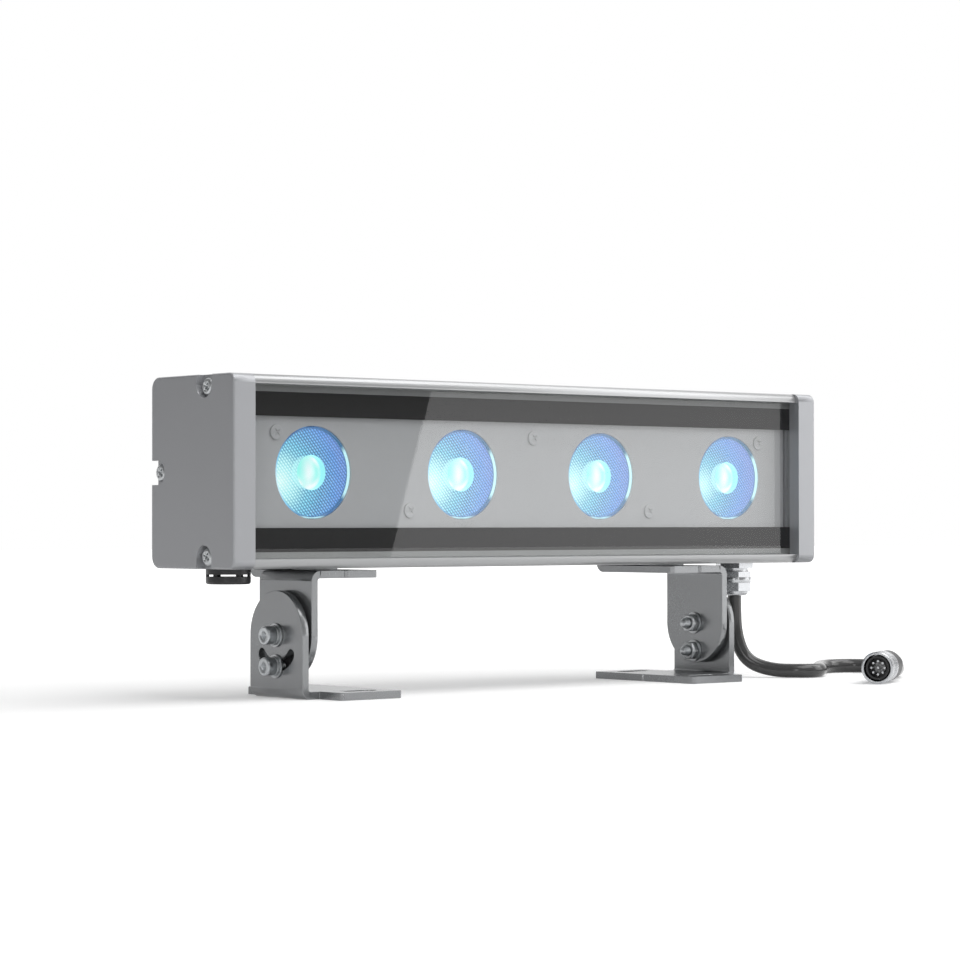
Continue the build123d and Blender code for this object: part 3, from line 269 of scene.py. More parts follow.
def mixed(finish, amount, first, second):
    """Two colours, or colour outputs, mixed by an amount from 0 to 1."""
    blend = add_node(finish, "ShaderNodeMix", {"data_type": "RGBA"}, _0=amount)
    for index, colour in ((6, first), (7, second)):
        if isinstance(colour, bpy.types.NodeSocket):
            join(finish, colour, blend.inputs[index])
        else:
            blend.inputs[index].default_value = (*colour, 1)
    return blend.outputs[2]


def surface(finish, shader, colour, roughness, height, relief, share=1.0):
    """Joins a colour, a roughness and a share of a relief in metres to the shader."""
    bump = add_node(finish, "ShaderNodeBump", Height=height, Strength=share, Distance=relief)
    join(finish, colour, shader.inputs["Base Color"])
    join(finish, roughness, shader.inputs["Roughness"])
    join(finish, bump.outputs[0], shader.inputs["Normal"])


def spline_points(name, route_mm, steps):
    """Points along one smooth NURBS curve whose control points are the route."""
    curve = bpy.data.curves.new(name, "CURVE")
    curve.dimensions = "3D"
    curve.resolution_u = steps
    spline = curve.splines.new("NURBS")
    spline.points.add(len(route_mm) - 1)
    for point, place in zip(spline.points, route_mm):
        point.co = (*[value / 1000 for value in place], 1)
    spline.order_u = 3
    spline.use_endpoint_u = True
    holder = bpy.data.objects.new(name, curve)
    line = bpy.data.meshes.new_from_object(holder)
    points = np.empty(len(line.vertices) * 3)
    line.vertices.foreach_get("co", points)
    bpy.data.objects.remove(holder)
    bpy.data.meshes.remove(line)
    return points.reshape(-1, 3)


def tube_grid(path, radius, sides):
    """Circles square to the path, carried along it without twist: each ring's first direction is
    the last one's, made square to the path again."""
    ahead = np.gradient(path, axis=0)
    ahead /= np.linalg.norm(ahead, axis=1, keepdims=True)
    side = np.empty_like(path)
    side[0] = np.cross(ahead[0], (0.0, 1.0, 0.0))
    side[0] /= np.linalg.norm(side[0])
    for i in range(1, len(path)):
        side[i] = side[i - 1] - ahead[i] * np.dot(side[i - 1], ahead[i])
        side[i] /= np.linalg.norm(side[i])
    up = np.cross(ahead, side)
    angle = np.linspace(0, 2 * np.pi, sides, endpoint=False)[None, :, None]
    return path[:, None] + radius * (np.cos(angle) * side[:, None] + np.sin(angle) * up[:, None])


def grid_faces(rows, columns, wrap_rows=False):
    """Quads between the rows of a grid whose columns wrap round, as its rows may too."""
    row = np.arange(rows if wrap_rows else rows - 1)[:, None]
    column = np.arange(columns)[None, :]
    nearer, further = row * columns, (row + 1) % rows * columns
    after = (column + 1) % columns
    corners = [nearer + column, nearer + after, further + after, further + column]
    return np.stack(corners, axis=-1).reshape(-1, 4).tolist()


def closed_faces(rows, columns):
    """The quads of a grid with both its end rings closed."""
    last = (rows - 1) * columns
    ends = [list(range(columns))[::-1], list(range(last, last + columns))]
    return grid_faces(rows, columns) + ends


def new_piece(name, points, faces, finish, body=None):
    """A smooth mesh object of arrays of points, with its finish, riding on a body."""
    mesh = bpy.data.meshes.new(name)
    mesh.from_pydata(points.reshape(-1, 3).tolist(), [], faces)
    mesh.polygons.foreach_set("use_smooth", [True] * len(mesh.polygons))
    mesh.materials.append(finish)
    mesh.update()
    piece = bpy.data.objects.new(name, mesh)
    bpy.context.scene.collection.objects.link(piece)
    if body:
        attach(piece, body)
    return piece


cord_rubber, cord_shader = finish_tree("black_cord_rubber")
cord_grain = noise(cord_rubber, object_place(cord_rubber), CORD_GRAIN_PER_METRE, detail=3.0)
surface(
    cord_rubber, cord_shader, mixed(cord_rubber, cord_grain, *CORD_BLACKS),
    ranged(cord_rubber, cord_grain, *CORD_ROUGHNESS), cord_grain, CORD_RELIEF, CORD_RELIEF_SHARE)

cord_path = spline_points("cord_line", CORD_ROUTE_MM, CORD_STEPS)
cord_jacket = new_piece(
    "cord_jacket", tube_grid(cord_path, CORD_RADIUS, CORD_SIDES),
    closed_faces(len(cord_path), CORD_SIDES), cord_rubber)
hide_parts("supply_cord")
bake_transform(cord_jacket)


# ---- Extruded housing ----
# One length of aluminium section with the glass rebate in front and cooling fins behind, cut to
# length and satin anodised, so faint die lines run along it.
HOUSING_GREY = (0.46, 0.465, 0.47)
HOUSING_TONES = (0.95, 1.05)
HOUSING_ROUGHNESS = (0.30, 0.40)
HOUSING_METALLIC = 0.6
HOUSING_GRAIN_PER_METRE = 1600.0
DIE_LINES_PER_METRE = (6.0, 700.0, 700.0)
DIE_LINE_RELIEF = 0.000008
EDGE_BREAK = 0.00022
SHARP_EDGE = math.radians(40)
WELD_DISTANCE = 0.000002


def two_toned(finish, amount, colour, dark, light):
    """A colour between a dark and a light share of itself, by an amount from 0 to 1."""
    darker, lighter = (tuple(share * part for part in colour) for share in (dark, light))
    return mixed(finish, amount, darker, lighter)


def dress(finish, *names):
    """Puts a finish on CAD pieces."""
    for name in names:
        for material_slot in cad_node[name].material_slots:
            material_slot.material = finish


def break_edges(width, *names):
    """Rounds the sharp edges of CAD pieces by a width, so that they catch the light."""
    for name in names:
        weld = cad_node[name].modifiers.new("weld", "WELD")
        weld.merge_threshold = WELD_DISTANCE
        edge = cad_node[name].modifiers.new("broken edges", "BEVEL")
        edge.width = width
        edge.segments = 2
        edge.limit_method = "ANGLE"
        edge.angle_limit = SHARP_EDGE
        edge.harden_normals = True


anodised, anodised_shader = finish_tree("satin_anodised_aluminium")
die_place = object_place(anodised, DIE_LINES_PER_METRE)
die_lines = noise(anodised, die_place, per_metre=1.0, detail=3.0)
housing_grain = noise(anodised, object_place(anodised), HOUSING_GRAIN_PER_METRE)
surface(
    anodised, anodised_shader, two_toned(anodised, die_lines, HOUSING_GREY, *HOUSING_TONES),
    ranged(anodised, housing_grain, *HOUSING_ROUGHNESS), die_lines, DIE_LINE_RELIEF)
settle(anodised_shader, Metallic=HOUSING_METALLIC)
dress(anodised, "housing_profile")
break_edges(EDGE_BREAK, "housing_profile")


# ---- Cast end caps and their gaskets ----
# Two aluminium castings with notches for their screws, powder coated in a fine silver grey with a
# slight orange peel. A black rubber gasket is squeezed in a pocket of each.
CAP_GREY = (0.415, 0.422, 0.44)
SPECKLES_PER_METRE = 1500.0
CLOUDS_PER_METRE = 18.0
PEEL_PER_METRE = 900.0
GASKET_BLACK = (0.02, 0.02, 0.02)
MOULDED_SPREAD = 0.04


def powder_coat(name, colour, roughness, metallic, speckled, peel):
    """Silver grey coat: half pigment speckle and half cloudiness, which change its tone and its
    roughness by the speckled share, over orange peel of a height in metres."""
    coat, shader = finish_tree(name)
    place = object_place(coat)
    clouds = ranged(coat, noise(coat, place, CLOUDS_PER_METRE), 0.0, 0.5)
    pigment = math_of(coat, "MULTIPLY_ADD", noise(coat, place, SPECKLES_PER_METRE), 0.5, clouds)
    surface(
        coat, shader, two_toned(coat, pigment, colour, 1 - speckled, 1 + speckled),
        ranged(coat, pigment, roughness - speckled, roughness + speckled),
        noise(coat, place, PEEL_PER_METRE), peel)
    settle(shader, Metallic=metallic)
    return coat


def moulding(name, colour, roughness, per_metre, relief, patchy=0.12):
    """Rubber, plastic or paint of one colour with a fine grain in tone, gloss and relief."""
    made, shader = finish_tree(name)
    grain = noise(made, object_place(made), per_metre)
    surface(
        made, shader, two_toned(made, grain, colour, 1 - patchy, 1 + patchy),
        ranged(made, grain, roughness - MOULDED_SPREAD, roughness + MOULDED_SPREAD), grain, relief)
    return made


cap_coat = powder_coat(
    "cap_powder_coat", CAP_GREY, roughness=0.36, metallic=0.4, speckled=0.025, peel=0.0000012)
dress(cap_coat, "end_cap_left", "end_cap_right")
break_edges(EDGE_BREAK, "end_cap_left", "end_cap_right")
gasket_rubber = moulding(
    "black_gasket_rubber", GASKET_BLACK, roughness=0.6, per_metre=1500.0, relief=0.00002)
dress(gasket_rubber, "end_gasket_left", "end_gasket_right")


# ---- End cap screws ----
# Three zinc plated pan head screws with a cross recess at each end, sunk in the notches of the
# cap and driven into the screw ports of the extrusion.
CAP_SCREW_PLACES = [(-0.0080, 0.1174), (-0.0080, 0.0542), (0.0228, 0.0858)]
CAP_SCREW_SEAT = 0.1493
CAP_SCREW_SHANK = (0.0015, 0.018)
CAP_SCREW_HEAD = (0.0033, 0.0022)
SCREW_SIDES = 72
SCREW_ROUNDING_RINGS = 7
SCREW_TOP_RINGS = 34
AXIS_RING = 0.00002
RECESS_REACH = 0.62
RECESS_FLOOR = 0.7
RECESS_WIDTH = 0.26
RECESS_WALL = 0.10
ZINC_GREY = (0.50, 0.515, 0.525)
PLATING_TONES = (0.93, 1.04)
PLATING_SPREAD = 0.05
PLATING_RELIEF = 0.000004


def turned_grid(radius, height, sides):
    """Rows of points (r cos a, r sin a, h) round an axis; r and h may change with the angle a."""
    angle = np.linspace(0, 2 * np.pi, sides, endpoint=False)
    radius, height = np.atleast_2d(radius), np.atleast_2d(height)
    radius, height = np.broadcast_arrays(radius, height + 0 * angle)
    return np.stack([radius * np.cos(angle), radius * np.sin(angle), height], axis=-1)


def faced(points, place, outward, sideways):
    """Points turned so that their axis points outward and their x sideways, then moved."""
    outward, sideways = np.array(outward, float), np.array(sideways, float)
    axes = np.stack([sideways, np.cross(outward, sideways), outward])
    return points @ axes + np.array(place)


def several(name, grids, faces, finish, body):
    """One piece of several equal grids of points."""
    count = grids[0].size // 3
    every = [[index + k * count for index in face] for k in range(len(grids)) for face in faces]
    return new_piece(name, np.stack(grids), every, finish, body)


def risen(value, start, width):
    """0 up to a start, 1 from a width past it, and a straight rise between."""
    return np.clip((value - start) / width, 0, 1)


def cross_recess(across, along, reach):
    """Two crossed grooves whose walls slope and whose floors rise to their ends; 1 is deepest."""
    depth = np.zeros_like(across)
    for u, v in ((across, along), (along, across)):
        floor = risen(reach - np.abs(u), 0, RECESS_FLOOR * reach)
        wall = risen(RECESS_WIDTH * reach - np.abs(v), 0, RECESS_WALL * reach)
        depth = np.maximum(depth, floor * wall)
    return depth


def cross_screw(shank, head, rounding, recess):
    """A turned screw from its tip to a head rounded at the rim by a quarter circle, with a cross
    recess of a depth on top."""
    (shank_radius, length), (radius, height) = shank, head
    turn = np.linspace(0, np.pi / 2, SCREW_ROUNDING_RINGS)
    top = np.linspace(radius - rounding, AXIS_RING, SCREW_TOP_RINGS)[1:]
    r = np.concatenate([[AXIS_RING, shank_radius, shank_radius, radius],
                        radius - rounding * (1 - np.cos(turn)), top])
    h = np.concatenate([[-length, -length, 0, 0], height - rounding * (1 - np.sin(turn)),
                        np.full(len(top), height)])
    points = turned_grid(r[:, None], h[:, None], SCREW_SIDES)
    face = points[-len(top):]
    face[..., 2] -= recess * cross_recess(face[..., 0], face[..., 1], RECESS_REACH * radius)
    return points


def plated(name, colour, roughness, per_metre):
    """Bright plating: clean metal with faint random brushing in its tone and gloss."""
    plate, shader = finish_tree(name)
    brushing = noise(plate, object_place(plate), per_metre, detail=3.0)
    surface(
        plate, shader, two_toned(plate, brushing, colour, *PLATING_TONES),
        ranged(plate, brushing, roughness - PLATING_SPREAD, roughness + PLATING_SPREAD), brushing,
        PLATING_RELIEF)
    settle(shader, Metallic=1.0)
    return plate


zinc = plated("bright_zinc", ZINC_GREY, roughness=0.34, per_metre=900.0)
cap_screw = cross_screw(CAP_SCREW_SHANK, CAP_SCREW_HEAD, rounding=0.0011, recess=0.0013)
cap_screw_faces = closed_faces(*cap_screw.shape[:2])
for side, outward in (("left", -1.0), ("right", 1.0)):
    screws = [
        faced(cap_screw, (outward * CAP_SCREW_SEAT, y, z), (outward, 0, 0), (0, 0.8, 0.6))
        for y, z in CAP_SCREW_PLACES]
    piece = several(f"cap_screws_{side}_cross_head", screws, cap_screw_faces, zinc, "head")
    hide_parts(f"cap_screws_{side}")


# ---- Front glass, its seal and the enamel bands ----
# A clear toughened pane bedded in grey silicone. Black enamel is fired on its inner face along
# the top and bottom, to hide the ledges.
GLASS_TINT = (0.985, 0.995, 0.99, 1)
GLASS_IOR = 1.5
SILICONE_GREY = (0.30, 0.31, 0.31)
ENAMEL_BLACK = (0.012, 0.012, 0.013)

pane_glass, pane_shader = finish_tree("clear_toughened_glass")
settle(pane_shader, Base_Color=GLASS_TINT, Transmission_Weight=1.0, Roughness=0.0, IOR=GLASS_IOR)
# Lamp light and light bounced about behind the pane go straight through it.
pane_path = add_node(pane_glass, "ShaderNodeLightPath")
pane_clear = add_node(pane_glass, "ShaderNodeBsdfTransparent")
pane_through = math_of(
    pane_glass, "MAXIMUM", pane_path.outputs["Is Shadow Ray"],
    pane_path.outputs["Is Diffuse Ray"])
pane_mix = add_node(
    pane_glass, "ShaderNodeMixShader", _0=pane_through, _1=pane_shader.outputs[0],
    _2=pane_clear.outputs[0])
pane_output = pane_glass.node_tree.nodes["Material Output"]
join(pane_glass, pane_mix.outputs[0], pane_output.inputs["Surface"])
dress(pane_glass, "front_glass")
silicone = moulding(
    "grey_silicone", SILICONE_GREY, roughness=0.6, per_metre=1200.0, relief=0.00002)
dress(silicone, "glass_seal")
enamel = moulding(
    "black_enamel", ENAMEL_BLACK, roughness=0.35, per_metre=60.0, relief=0.0000002, patchy=0.05)
dress(enamel, "glass_border")


# ---- Cover plate, its screws and standoffs ----
# Sheet steel in light grey matt paint that hides the boards and frames the lenses. Five low
# cross head screws, painted with it, hold it on standoffs.
PLATE_GREY = (0.40, 0.408, 0.422)
PLATE_SCREW_PLACES = [
    (-0.12685, 0.1007), (-0.0632, 0.0715), (0.0, 0.1007), (0.0632, 0.0715), (0.12685, 0.1007)]
PLATE_SCREW_SEAT = -0.0168
PLATE_SCREW_SHANK = (0.0015, 0.022)
PLATE_SCREW_HEAD = (0.0029, 0.0006)

plate_paint = moulding(
    "light_grey_paint", PLATE_GREY, roughness=0.5, per_metre=120.0, relief=0.0000005, patchy=0.03)
dress(plate_paint, "lens_plate")
plate_screw = cross_screw(PLATE_SCREW_SHANK, PLATE_SCREW_HEAD, rounding=0.0003, recess=0.0005)
plate_screws = [
    faced(plate_screw, (x, PLATE_SCREW_SEAT, z), (0, -1, 0), (0.8, 0, 0.6))
    for x, z in PLATE_SCREW_PLACES]
painted_screws = several(
    "plate_screws_cross_head", plate_screws, closed_faces(*plate_screw.shape[:2]), plate_paint,
    "head")
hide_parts("plate_screws")
dress(zinc, "plate_standoffs")


# ---- Lenses and their holders ----
# Moulded clear collimators, lit from behind, each in a black cup on the board. The flat front has
# a honeycomb of tiny pillows that spread the light, round a shallow well over the emitter, and a
# thin clear rim stands up round it to the plate's face.
LENS_SIDES = 480
SIDE_RINGS = 12
RIM_RINGS = 5
FRONT_RINGS = 60
WALL_RINGS = 6
FLOOR_RINGS = 16
RING_GAP = 0.0001
PILLOW_PITCH = 0.00128
PILLOW_TURN = 42.0
PILLOW_SHARES = (0.55, 0.25, 0.20)
PILLOW_RISE = 0.00010
PILLOW_FADE = 0.0006
WELL_RADIUS = 0.0066
WELL_DEPTH = 0.003
WELL_CROWN = 0.0015
RIM_WIDTH = 0.00045
RIM_RISE = 0.0011
RIM_CHAMFER = 0.0001
LENS_FLANGE = 0.0007
LENS_BODY_RADIUS = 0.0166
LENS_TAIL_RADIUS = 0.0064
HOLDER_BLACK = (0.03, 0.03, 0.032)
# The glow is brightest at a place near the left edge, in lens radii, and dims from lens to lens.
GLOW_CENTRE = (-0.84, -0.20)
GLOW_SHIFTS = (0.0, 0.04, 0.11, 0.22)
GLOW_REACH = 1.9
PILLOW_RANGE = (-0.50, 0.70)
PILLOW_ELSEWHERE = 0.6
EDGE_GLOW = (-0.0010, 0.0004)
RIM_GLOW_RIGHT = (0.79, 0.08)
RIM_GLOW_BOTTOM = (0.93, 0.04)
RIM_BOTTOM_SHARE = 0.8
# The well's bright parts are given in well radii, and the wall's shift and ring's width in metres.
WALL_GLOW_SHIFT = 0.0028
WALL_GLOW_FADE = 0.12
WALL_GLOW_SHARE = 0.55
RING_GLOW_RADIUS = 0.84
RING_GLOW_WIDTH = 0.0013
RING_GLOW_LEAN = 0.25
RING_GLOW_RISE = (-0.2, 0.5)
RING_GLOW_HEIGHT = 0.75
RING_GLOW_LEAST = 0.3
CORNER_GLOW = (-0.60, -0.62)
CORNER_GLOW_REACH = 0.34
MIDDLE_GLOW = (0.42, 0.9)
PILLOW_TOP_LIGHT = [
    (0.00, (0.86, 1.00, 0.98)), (0.24, (0.62, 1.00, 1.00)), (0.44, (0.26, 0.80, 1.00)),
    (0.62, (0.20, 0.62, 1.00)), (0.80, (0.16, 0.44, 0.95)), (1.00, (0.20, 0.36, 0.85))]
PILLOW_GAP_LIGHT = [
    (0.00, (0.62, 0.98, 0.94)), (0.18, (0.30, 0.78, 0.82)), (0.36, (0.05, 0.28, 0.46)),
    (0.60, (0.012, 0.09, 0.26)), (0.80, (0.03, 0.13, 0.42)), (1.00, (0.06, 0.12, 0.42))]
EDGE_LIGHT = [
    (0.00, (0.80, 1.00, 1.00)), (0.26, (0.20, 0.60, 0.90)), (0.50, (0.03, 0.12, 0.34)),
    (0.80, (0.03, 0.12, 0.30)), (1.00, (0.02, 0.12, 0.22))]
WALL_SEEN_LIGHT = (0.50, 1.0, 1.0)
WELL_LIGHT = (0.26, 0.95, 0.84)
WELL_MIDDLE_LIGHT = (0.86, 1.0, 0.99)
WELL_RING_LIGHT = (1.0, 1.0, 1.0)
WELL_WALL_LIGHT = (0.32, 0.93, 0.95)
RIM_LIGHT = (0.60, 0.97, 1.0)
LENS_TINT = (0.02, 0.05, 0.08, 1)
LENS_ROUGHNESS = 0.12
LENS_LIGHT = 0.95


def pillow_wave(x, z):
    """Three cosine waves sixty degrees apart, added up: a pillow in each honeycomb cell. The
    first is the strongest, which joins the pillows into slanting ridges."""
    wave = 4 * np.pi / (PILLOW_PITCH * math.sqrt(3))
    total = np.zeros_like(x)
    for share, turn in zip(PILLOW_SHARES, (0, 60, 120)):
        turn = math.radians(PILLOW_TURN + turn)
        total += share * np.cos(wave * (x * np.cos(turn) + z * np.sin(turn)))
    return total


def lens_profile(radius, length):
    """Radii, heights and zones from the tail, up a side that is a quarter of an ellipse, round
    the rim, over the flat front, down the well and over its crowned floor, a parabola."""
    turn = np.linspace(np.pi / 2, 0, SIDE_RINGS)
    inner = radius - RIM_WIDTH
    floor = np.linspace(WELL_RADIUS, AXIS_RING, FLOOR_RINGS)
    parts = [
        ("side", [AXIS_RING], [-length]),
        ("side", LENS_BODY_RADIUS - (LENS_BODY_RADIUS - LENS_TAIL_RADIUS) * (1 - np.cos(turn)),
         -LENS_FLANGE - (length - LENS_FLANGE) * np.sin(turn)),
        ("side", [radius], [-LENS_FLANGE]),
        ("rim", [radius, radius - RIM_CHAMFER, inner + RIM_CHAMFER / 2],
         [RIM_RISE - RIM_CHAMFER, RIM_RISE, RIM_RISE]),
        ("rim", np.full(RIM_RINGS, inner),
         np.linspace(RIM_RISE - RIM_CHAMFER / 2, 0.0, RIM_RINGS)),
        ("front", np.linspace(inner - RING_GAP, WELL_RADIUS + RING_GAP, FRONT_RINGS),
         np.zeros(FRONT_RINGS)),
        ("wall", np.full(WALL_RINGS, WELL_RADIUS),
         np.linspace(-RING_GAP, -WELL_DEPTH, WALL_RINGS)),
        ("floor", floor, -WELL_DEPTH + WELL_CROWN * (1 - (floor / WELL_RADIUS) ** 2)),
    ]
    zones = np.concatenate([[zone] * len(r) for zone, r, _ in parts])
    return np.concatenate([r for _, r, _ in parts]), np.concatenate([h for *_, h in parts]), zones


def lit_lens(name, node, finish, glow_shift):
    """One lens turned about its axis, its front raised by the pillow wave, which fades out next to
    the rim and the well. Its attributes give each point's distance from the middle of the glow,
    the pillow wave, and shares from 0 to 1 of each lit part."""
    low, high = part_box(node)
    radius, length = (high.x - low.x) / 2, high.y - low.y
    r, h, zone = lens_profile(radius, length)
    points = turned_grid(r[:, None], h[:, None], LENS_SIDES)
    x, z = points[..., 0], points[..., 1]
    pillow = pillow_wave(x, z)
    front = (zone == "front")[:, None]
    fade = risen(np.minimum(r - WELL_RADIUS, radius - RIM_WIDTH - r), 0, PILLOW_FADE)[:, None]
    points[..., 2] += np.where(front, PILLOW_RISE * (pillow - 1) * fade, 0)
    middle = ((low.x + high.x) / 2, low.y, (low.z + high.z) / 2)
    piece = new_piece(
        name, faced(points, middle, (0, -1, 0), (1, 0, 0)), closed_faces(len(r), LENS_SIDES),
        finish, "head")
    lens_x, lens_z = x / radius, z / radius
    well_x, well_z = x / WELL_RADIUS, z / WELL_RADIUS
    from_wall = np.hypot((x + WALL_GLOW_SHIFT) / WELL_RADIUS, well_z)
    from_corner = np.hypot(well_x - CORNER_GLOW[0], well_z - CORNER_GLOW[1]) / CORNER_GLOW_REACH
    on_ring = np.exp(-((r - RING_GLOW_RADIUS * WELL_RADIUS) / RING_GLOW_WIDTH) ** 2)[:, None]
    ring_right = risen(well_x - RING_GLOW_LEAN * well_z, *RING_GLOW_RISE) * np.clip(
        np.abs(well_z) / RING_GLOW_HEIGHT, RING_GLOW_LEAST, 1)
    layers = {
        "glow_spread": glow_shift + np.hypot(lens_x - GLOW_CENTRE[0], lens_z - GLOW_CENTRE[1]),
        "pillow": np.where(front, pillow, PILLOW_ELSEWHERE),
        "outer_edge": risen(r - radius, *EDGE_GLOW)[:, None] * front,
        "wall_seen": risen(1 - from_wall, 0, WALL_GLOW_FADE) * front,
        "well": np.isin(zone, ["wall", "floor"])[:, None],
        "well_wall": (zone == "wall")[:, None],
        "well_ring": on_ring * np.maximum(ring_right, np.exp(-from_corner ** 2)),
        "well_middle": np.exp(
            -(well_x / MIDDLE_GLOW[0]) ** 2 - (well_z / MIDDLE_GLOW[1]) ** 2),
        "rim": (zone == "rim")[:, None],
        "rim_lit": np.maximum(
            risen(lens_x, *RIM_GLOW_RIGHT), RIM_BOTTOM_SHARE * risen(-lens_z, *RIM_GLOW_BOTTOM)),
    }
    for key, value in layers.items():
        layer = piece.data.attributes.new(key, "FLOAT", "POINT")
        layer.data.foreach_set("value", np.broadcast_to(value, x.shape).astype(np.float32).ravel())
    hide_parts(node)


def ramp(finish, value, stops):
    """A colour ramp through (place, colour) stops."""
    made = add_node(finish, "ShaderNodeValToRGB", _0=value)
    elements = made.color_ramp.elements
    while len(elements) < len(stops):
        elements.new(0.5)
    for element, (place, colour) in zip(elements, stops):
        element.position = place
        element.color = (*colour, 1)
    return made.outputs["Color"]


def layer_value(finish, name):
    """One of the piece's own attributes."""
    return add_node(
        finish, "ShaderNodeAttribute", {"attribute_name": name}).outputs["Fac"]


def layered(finish, name, below, above):
    """A colour, with another in its place as far as one of the piece's attributes says."""
    return mixed(finish, layer_value(finish, name), below, above)


lit_acrylic, lit_shader = finish_tree("lit_lens_acrylic")
glow_spread = ranged(lit_acrylic, layer_value(lit_acrylic, "glow_spread"), 0, 1, 0, GLOW_REACH)
pillow_share = ranged(lit_acrylic, layer_value(lit_acrylic, "pillow"), 0, 1, *PILLOW_RANGE)
wall_share = ranged(lit_acrylic, layer_value(lit_acrylic, "wall_seen"), 0, WALL_GLOW_SHARE)
pillow_top = ramp(lit_acrylic, glow_spread, PILLOW_TOP_LIGHT)
pillow_gap = ramp(lit_acrylic, glow_spread, PILLOW_GAP_LIGHT)
edge_light = ramp(lit_acrylic, glow_spread, EDGE_LIGHT)
front_light = mixed(lit_acrylic, pillow_share, pillow_gap, pillow_top)
front_light = mixed(lit_acrylic, wall_share, front_light, WALL_SEEN_LIGHT)
front_light = layered(lit_acrylic, "outer_edge", front_light, edge_light)
well_light = layered(lit_acrylic, "well_middle", WELL_LIGHT, WELL_MIDDLE_LIGHT)
well_light = layered(lit_acrylic, "well_ring", well_light, WELL_RING_LIGHT)
well_light = layered(lit_acrylic, "well_wall", well_light, WELL_WALL_LIGHT)
rim_light = layered(lit_acrylic, "rim_lit", edge_light, RIM_LIGHT)
lens_light = layered(lit_acrylic, "well", front_light, well_light)
lens_light = layered(lit_acrylic, "rim", lens_light, rim_light)
settle(
    lit_shader, Base_Color=LENS_TINT, Roughness=LENS_ROUGHNESS, Emission_Strength=LENS_LIGHT)
join(lit_acrylic, lens_light, lit_shader.inputs["Emission Color"])
holder_plastic = moulding(
    "black_holder_plastic", HOLDER_BLACK, roughness=0.45, per_metre=1500.0, relief=0.00001)
for number, shift in enumerate(GLOW_SHIFTS, start=1):
    lit_lens(f"lens_{number}_pillow_front", f"lens_{number}", lit_acrylic, shift)
    dress(holder_plastic, f"lens_holder_{number}")


# ---- Boards, emitters and heat pad ----
# Four emitters on one green board, pressed on the web through a soft grey pad, and the driver
# board with its black parts in the rear chamber.
EMITTER_LIGHTS = ((0.3, 0.8, 1.0), (0.6, 1.0, 1.0))
EMITTER_TINT = (0.8, 0.9, 0.9, 1)
EMITTER_GRAIN_PER_METRE = 900.0
BOARD_GREEN = (0.02, 0.12, 0.05)
PART_BLACK = (0.03, 0.03, 0.032)
HEAT_PAD_GREY = (0.32, 0.32, 0.34)

emitter, emitter_shader = finish_tree("lit_emitter")
emitter_grain = noise(emitter, object_place(emitter), EMITTER_GRAIN_PER_METRE)
settle(emitter_shader, Base_Color=EMITTER_TINT, Emission_Strength=1.0)
join(emitter, mixed(emitter, emitter_grain, *EMITTER_LIGHTS),
     emitter_shader.inputs["Emission Color"])
dress(emitter, "led_1", "led_2", "led_3", "led_4")
solder_mask = moulding(
    "green_solder_mask", BOARD_GREEN, roughness=0.3, per_metre=700.0, relief=0.00001)
dress(solder_mask, "led_board", "driver_board")
part_plastic = moulding(
    "black_board_parts", PART_BLACK, roughness=0.45, per_metre=1500.0, relief=0.00001)
dress(part_plastic, "driver_parts")
pad_silicone = moulding(
    "grey_thermal_pad", HEAT_PAD_GREY, roughness=0.7, per_metre=900.0, relief=0.00002)
dress(pad_silicone, "thermal_pad")


# ---- Breather vent ----
# A round black plastic breather screwed into the bottom near the left end, open through slits
# between its base and its cap, on a rubber ring.
VENT_BLACK = (0.022, 0.022, 0.024)

vent_plastic = moulding(
    "black_vent_plastic", VENT_BLACK, roughness=0.36, per_metre=1700.0, relief=0.00001)
dress(vent_plastic, "vent_plug")
dress(gasket_rubber, "vent_seal")


# ---- Cable gland ----
# A brass gland under bright nickel: hexagon flange, body and dome nut, with a rubber sleeve that
# the nut squeezes on the cord.
NICKEL_GREY = (0.52, 0.53, 0.545)
GLAND_EDGE = 0.00015

nickel = plated("bright_nickel", NICKEL_GREY, roughness=0.26, per_metre=1100.0)
dress(nickel, "gland_body", "gland_nut")
break_edges(GLAND_EDGE, "gland_body", "gland_nut")
dress(gasket_rubber, "gland_seal")


# ---- Brackets of the head and feet ----
# Three millimetre sheet, laser cut and bent, in a smooth silver grey coat. Plastic washers keep
# the legs apart; spacers and countersunk screws hold the flanges under the housing.
BRACKETS = ["head_bracket_left", "head_bracket_right", "foot_bracket_left", "foot_bracket_right"]
BRACKET_GREY = (0.30, 0.307, 0.314)
LEG_WASHER_BLACK = (0.03, 0.03, 0.032)

bracket_coat = powder_coat(
    "bracket_powder_coat", BRACKET_GREY, roughness=0.27, metallic=0.75, speckled=0.012,
    peel=0.0000003)
dress(bracket_coat, *BRACKETS)
break_edges(EDGE_BREAK, *BRACKETS)
dress(zinc, "bracket_screws", "bracket_spacers")
washer_plastic = moulding(
    "black_washer_plastic", LEG_WASHER_BLACK, roughness=0.5, per_metre=1500.0, relief=0.00001)
dress(washer_plastic, "leg_washers")


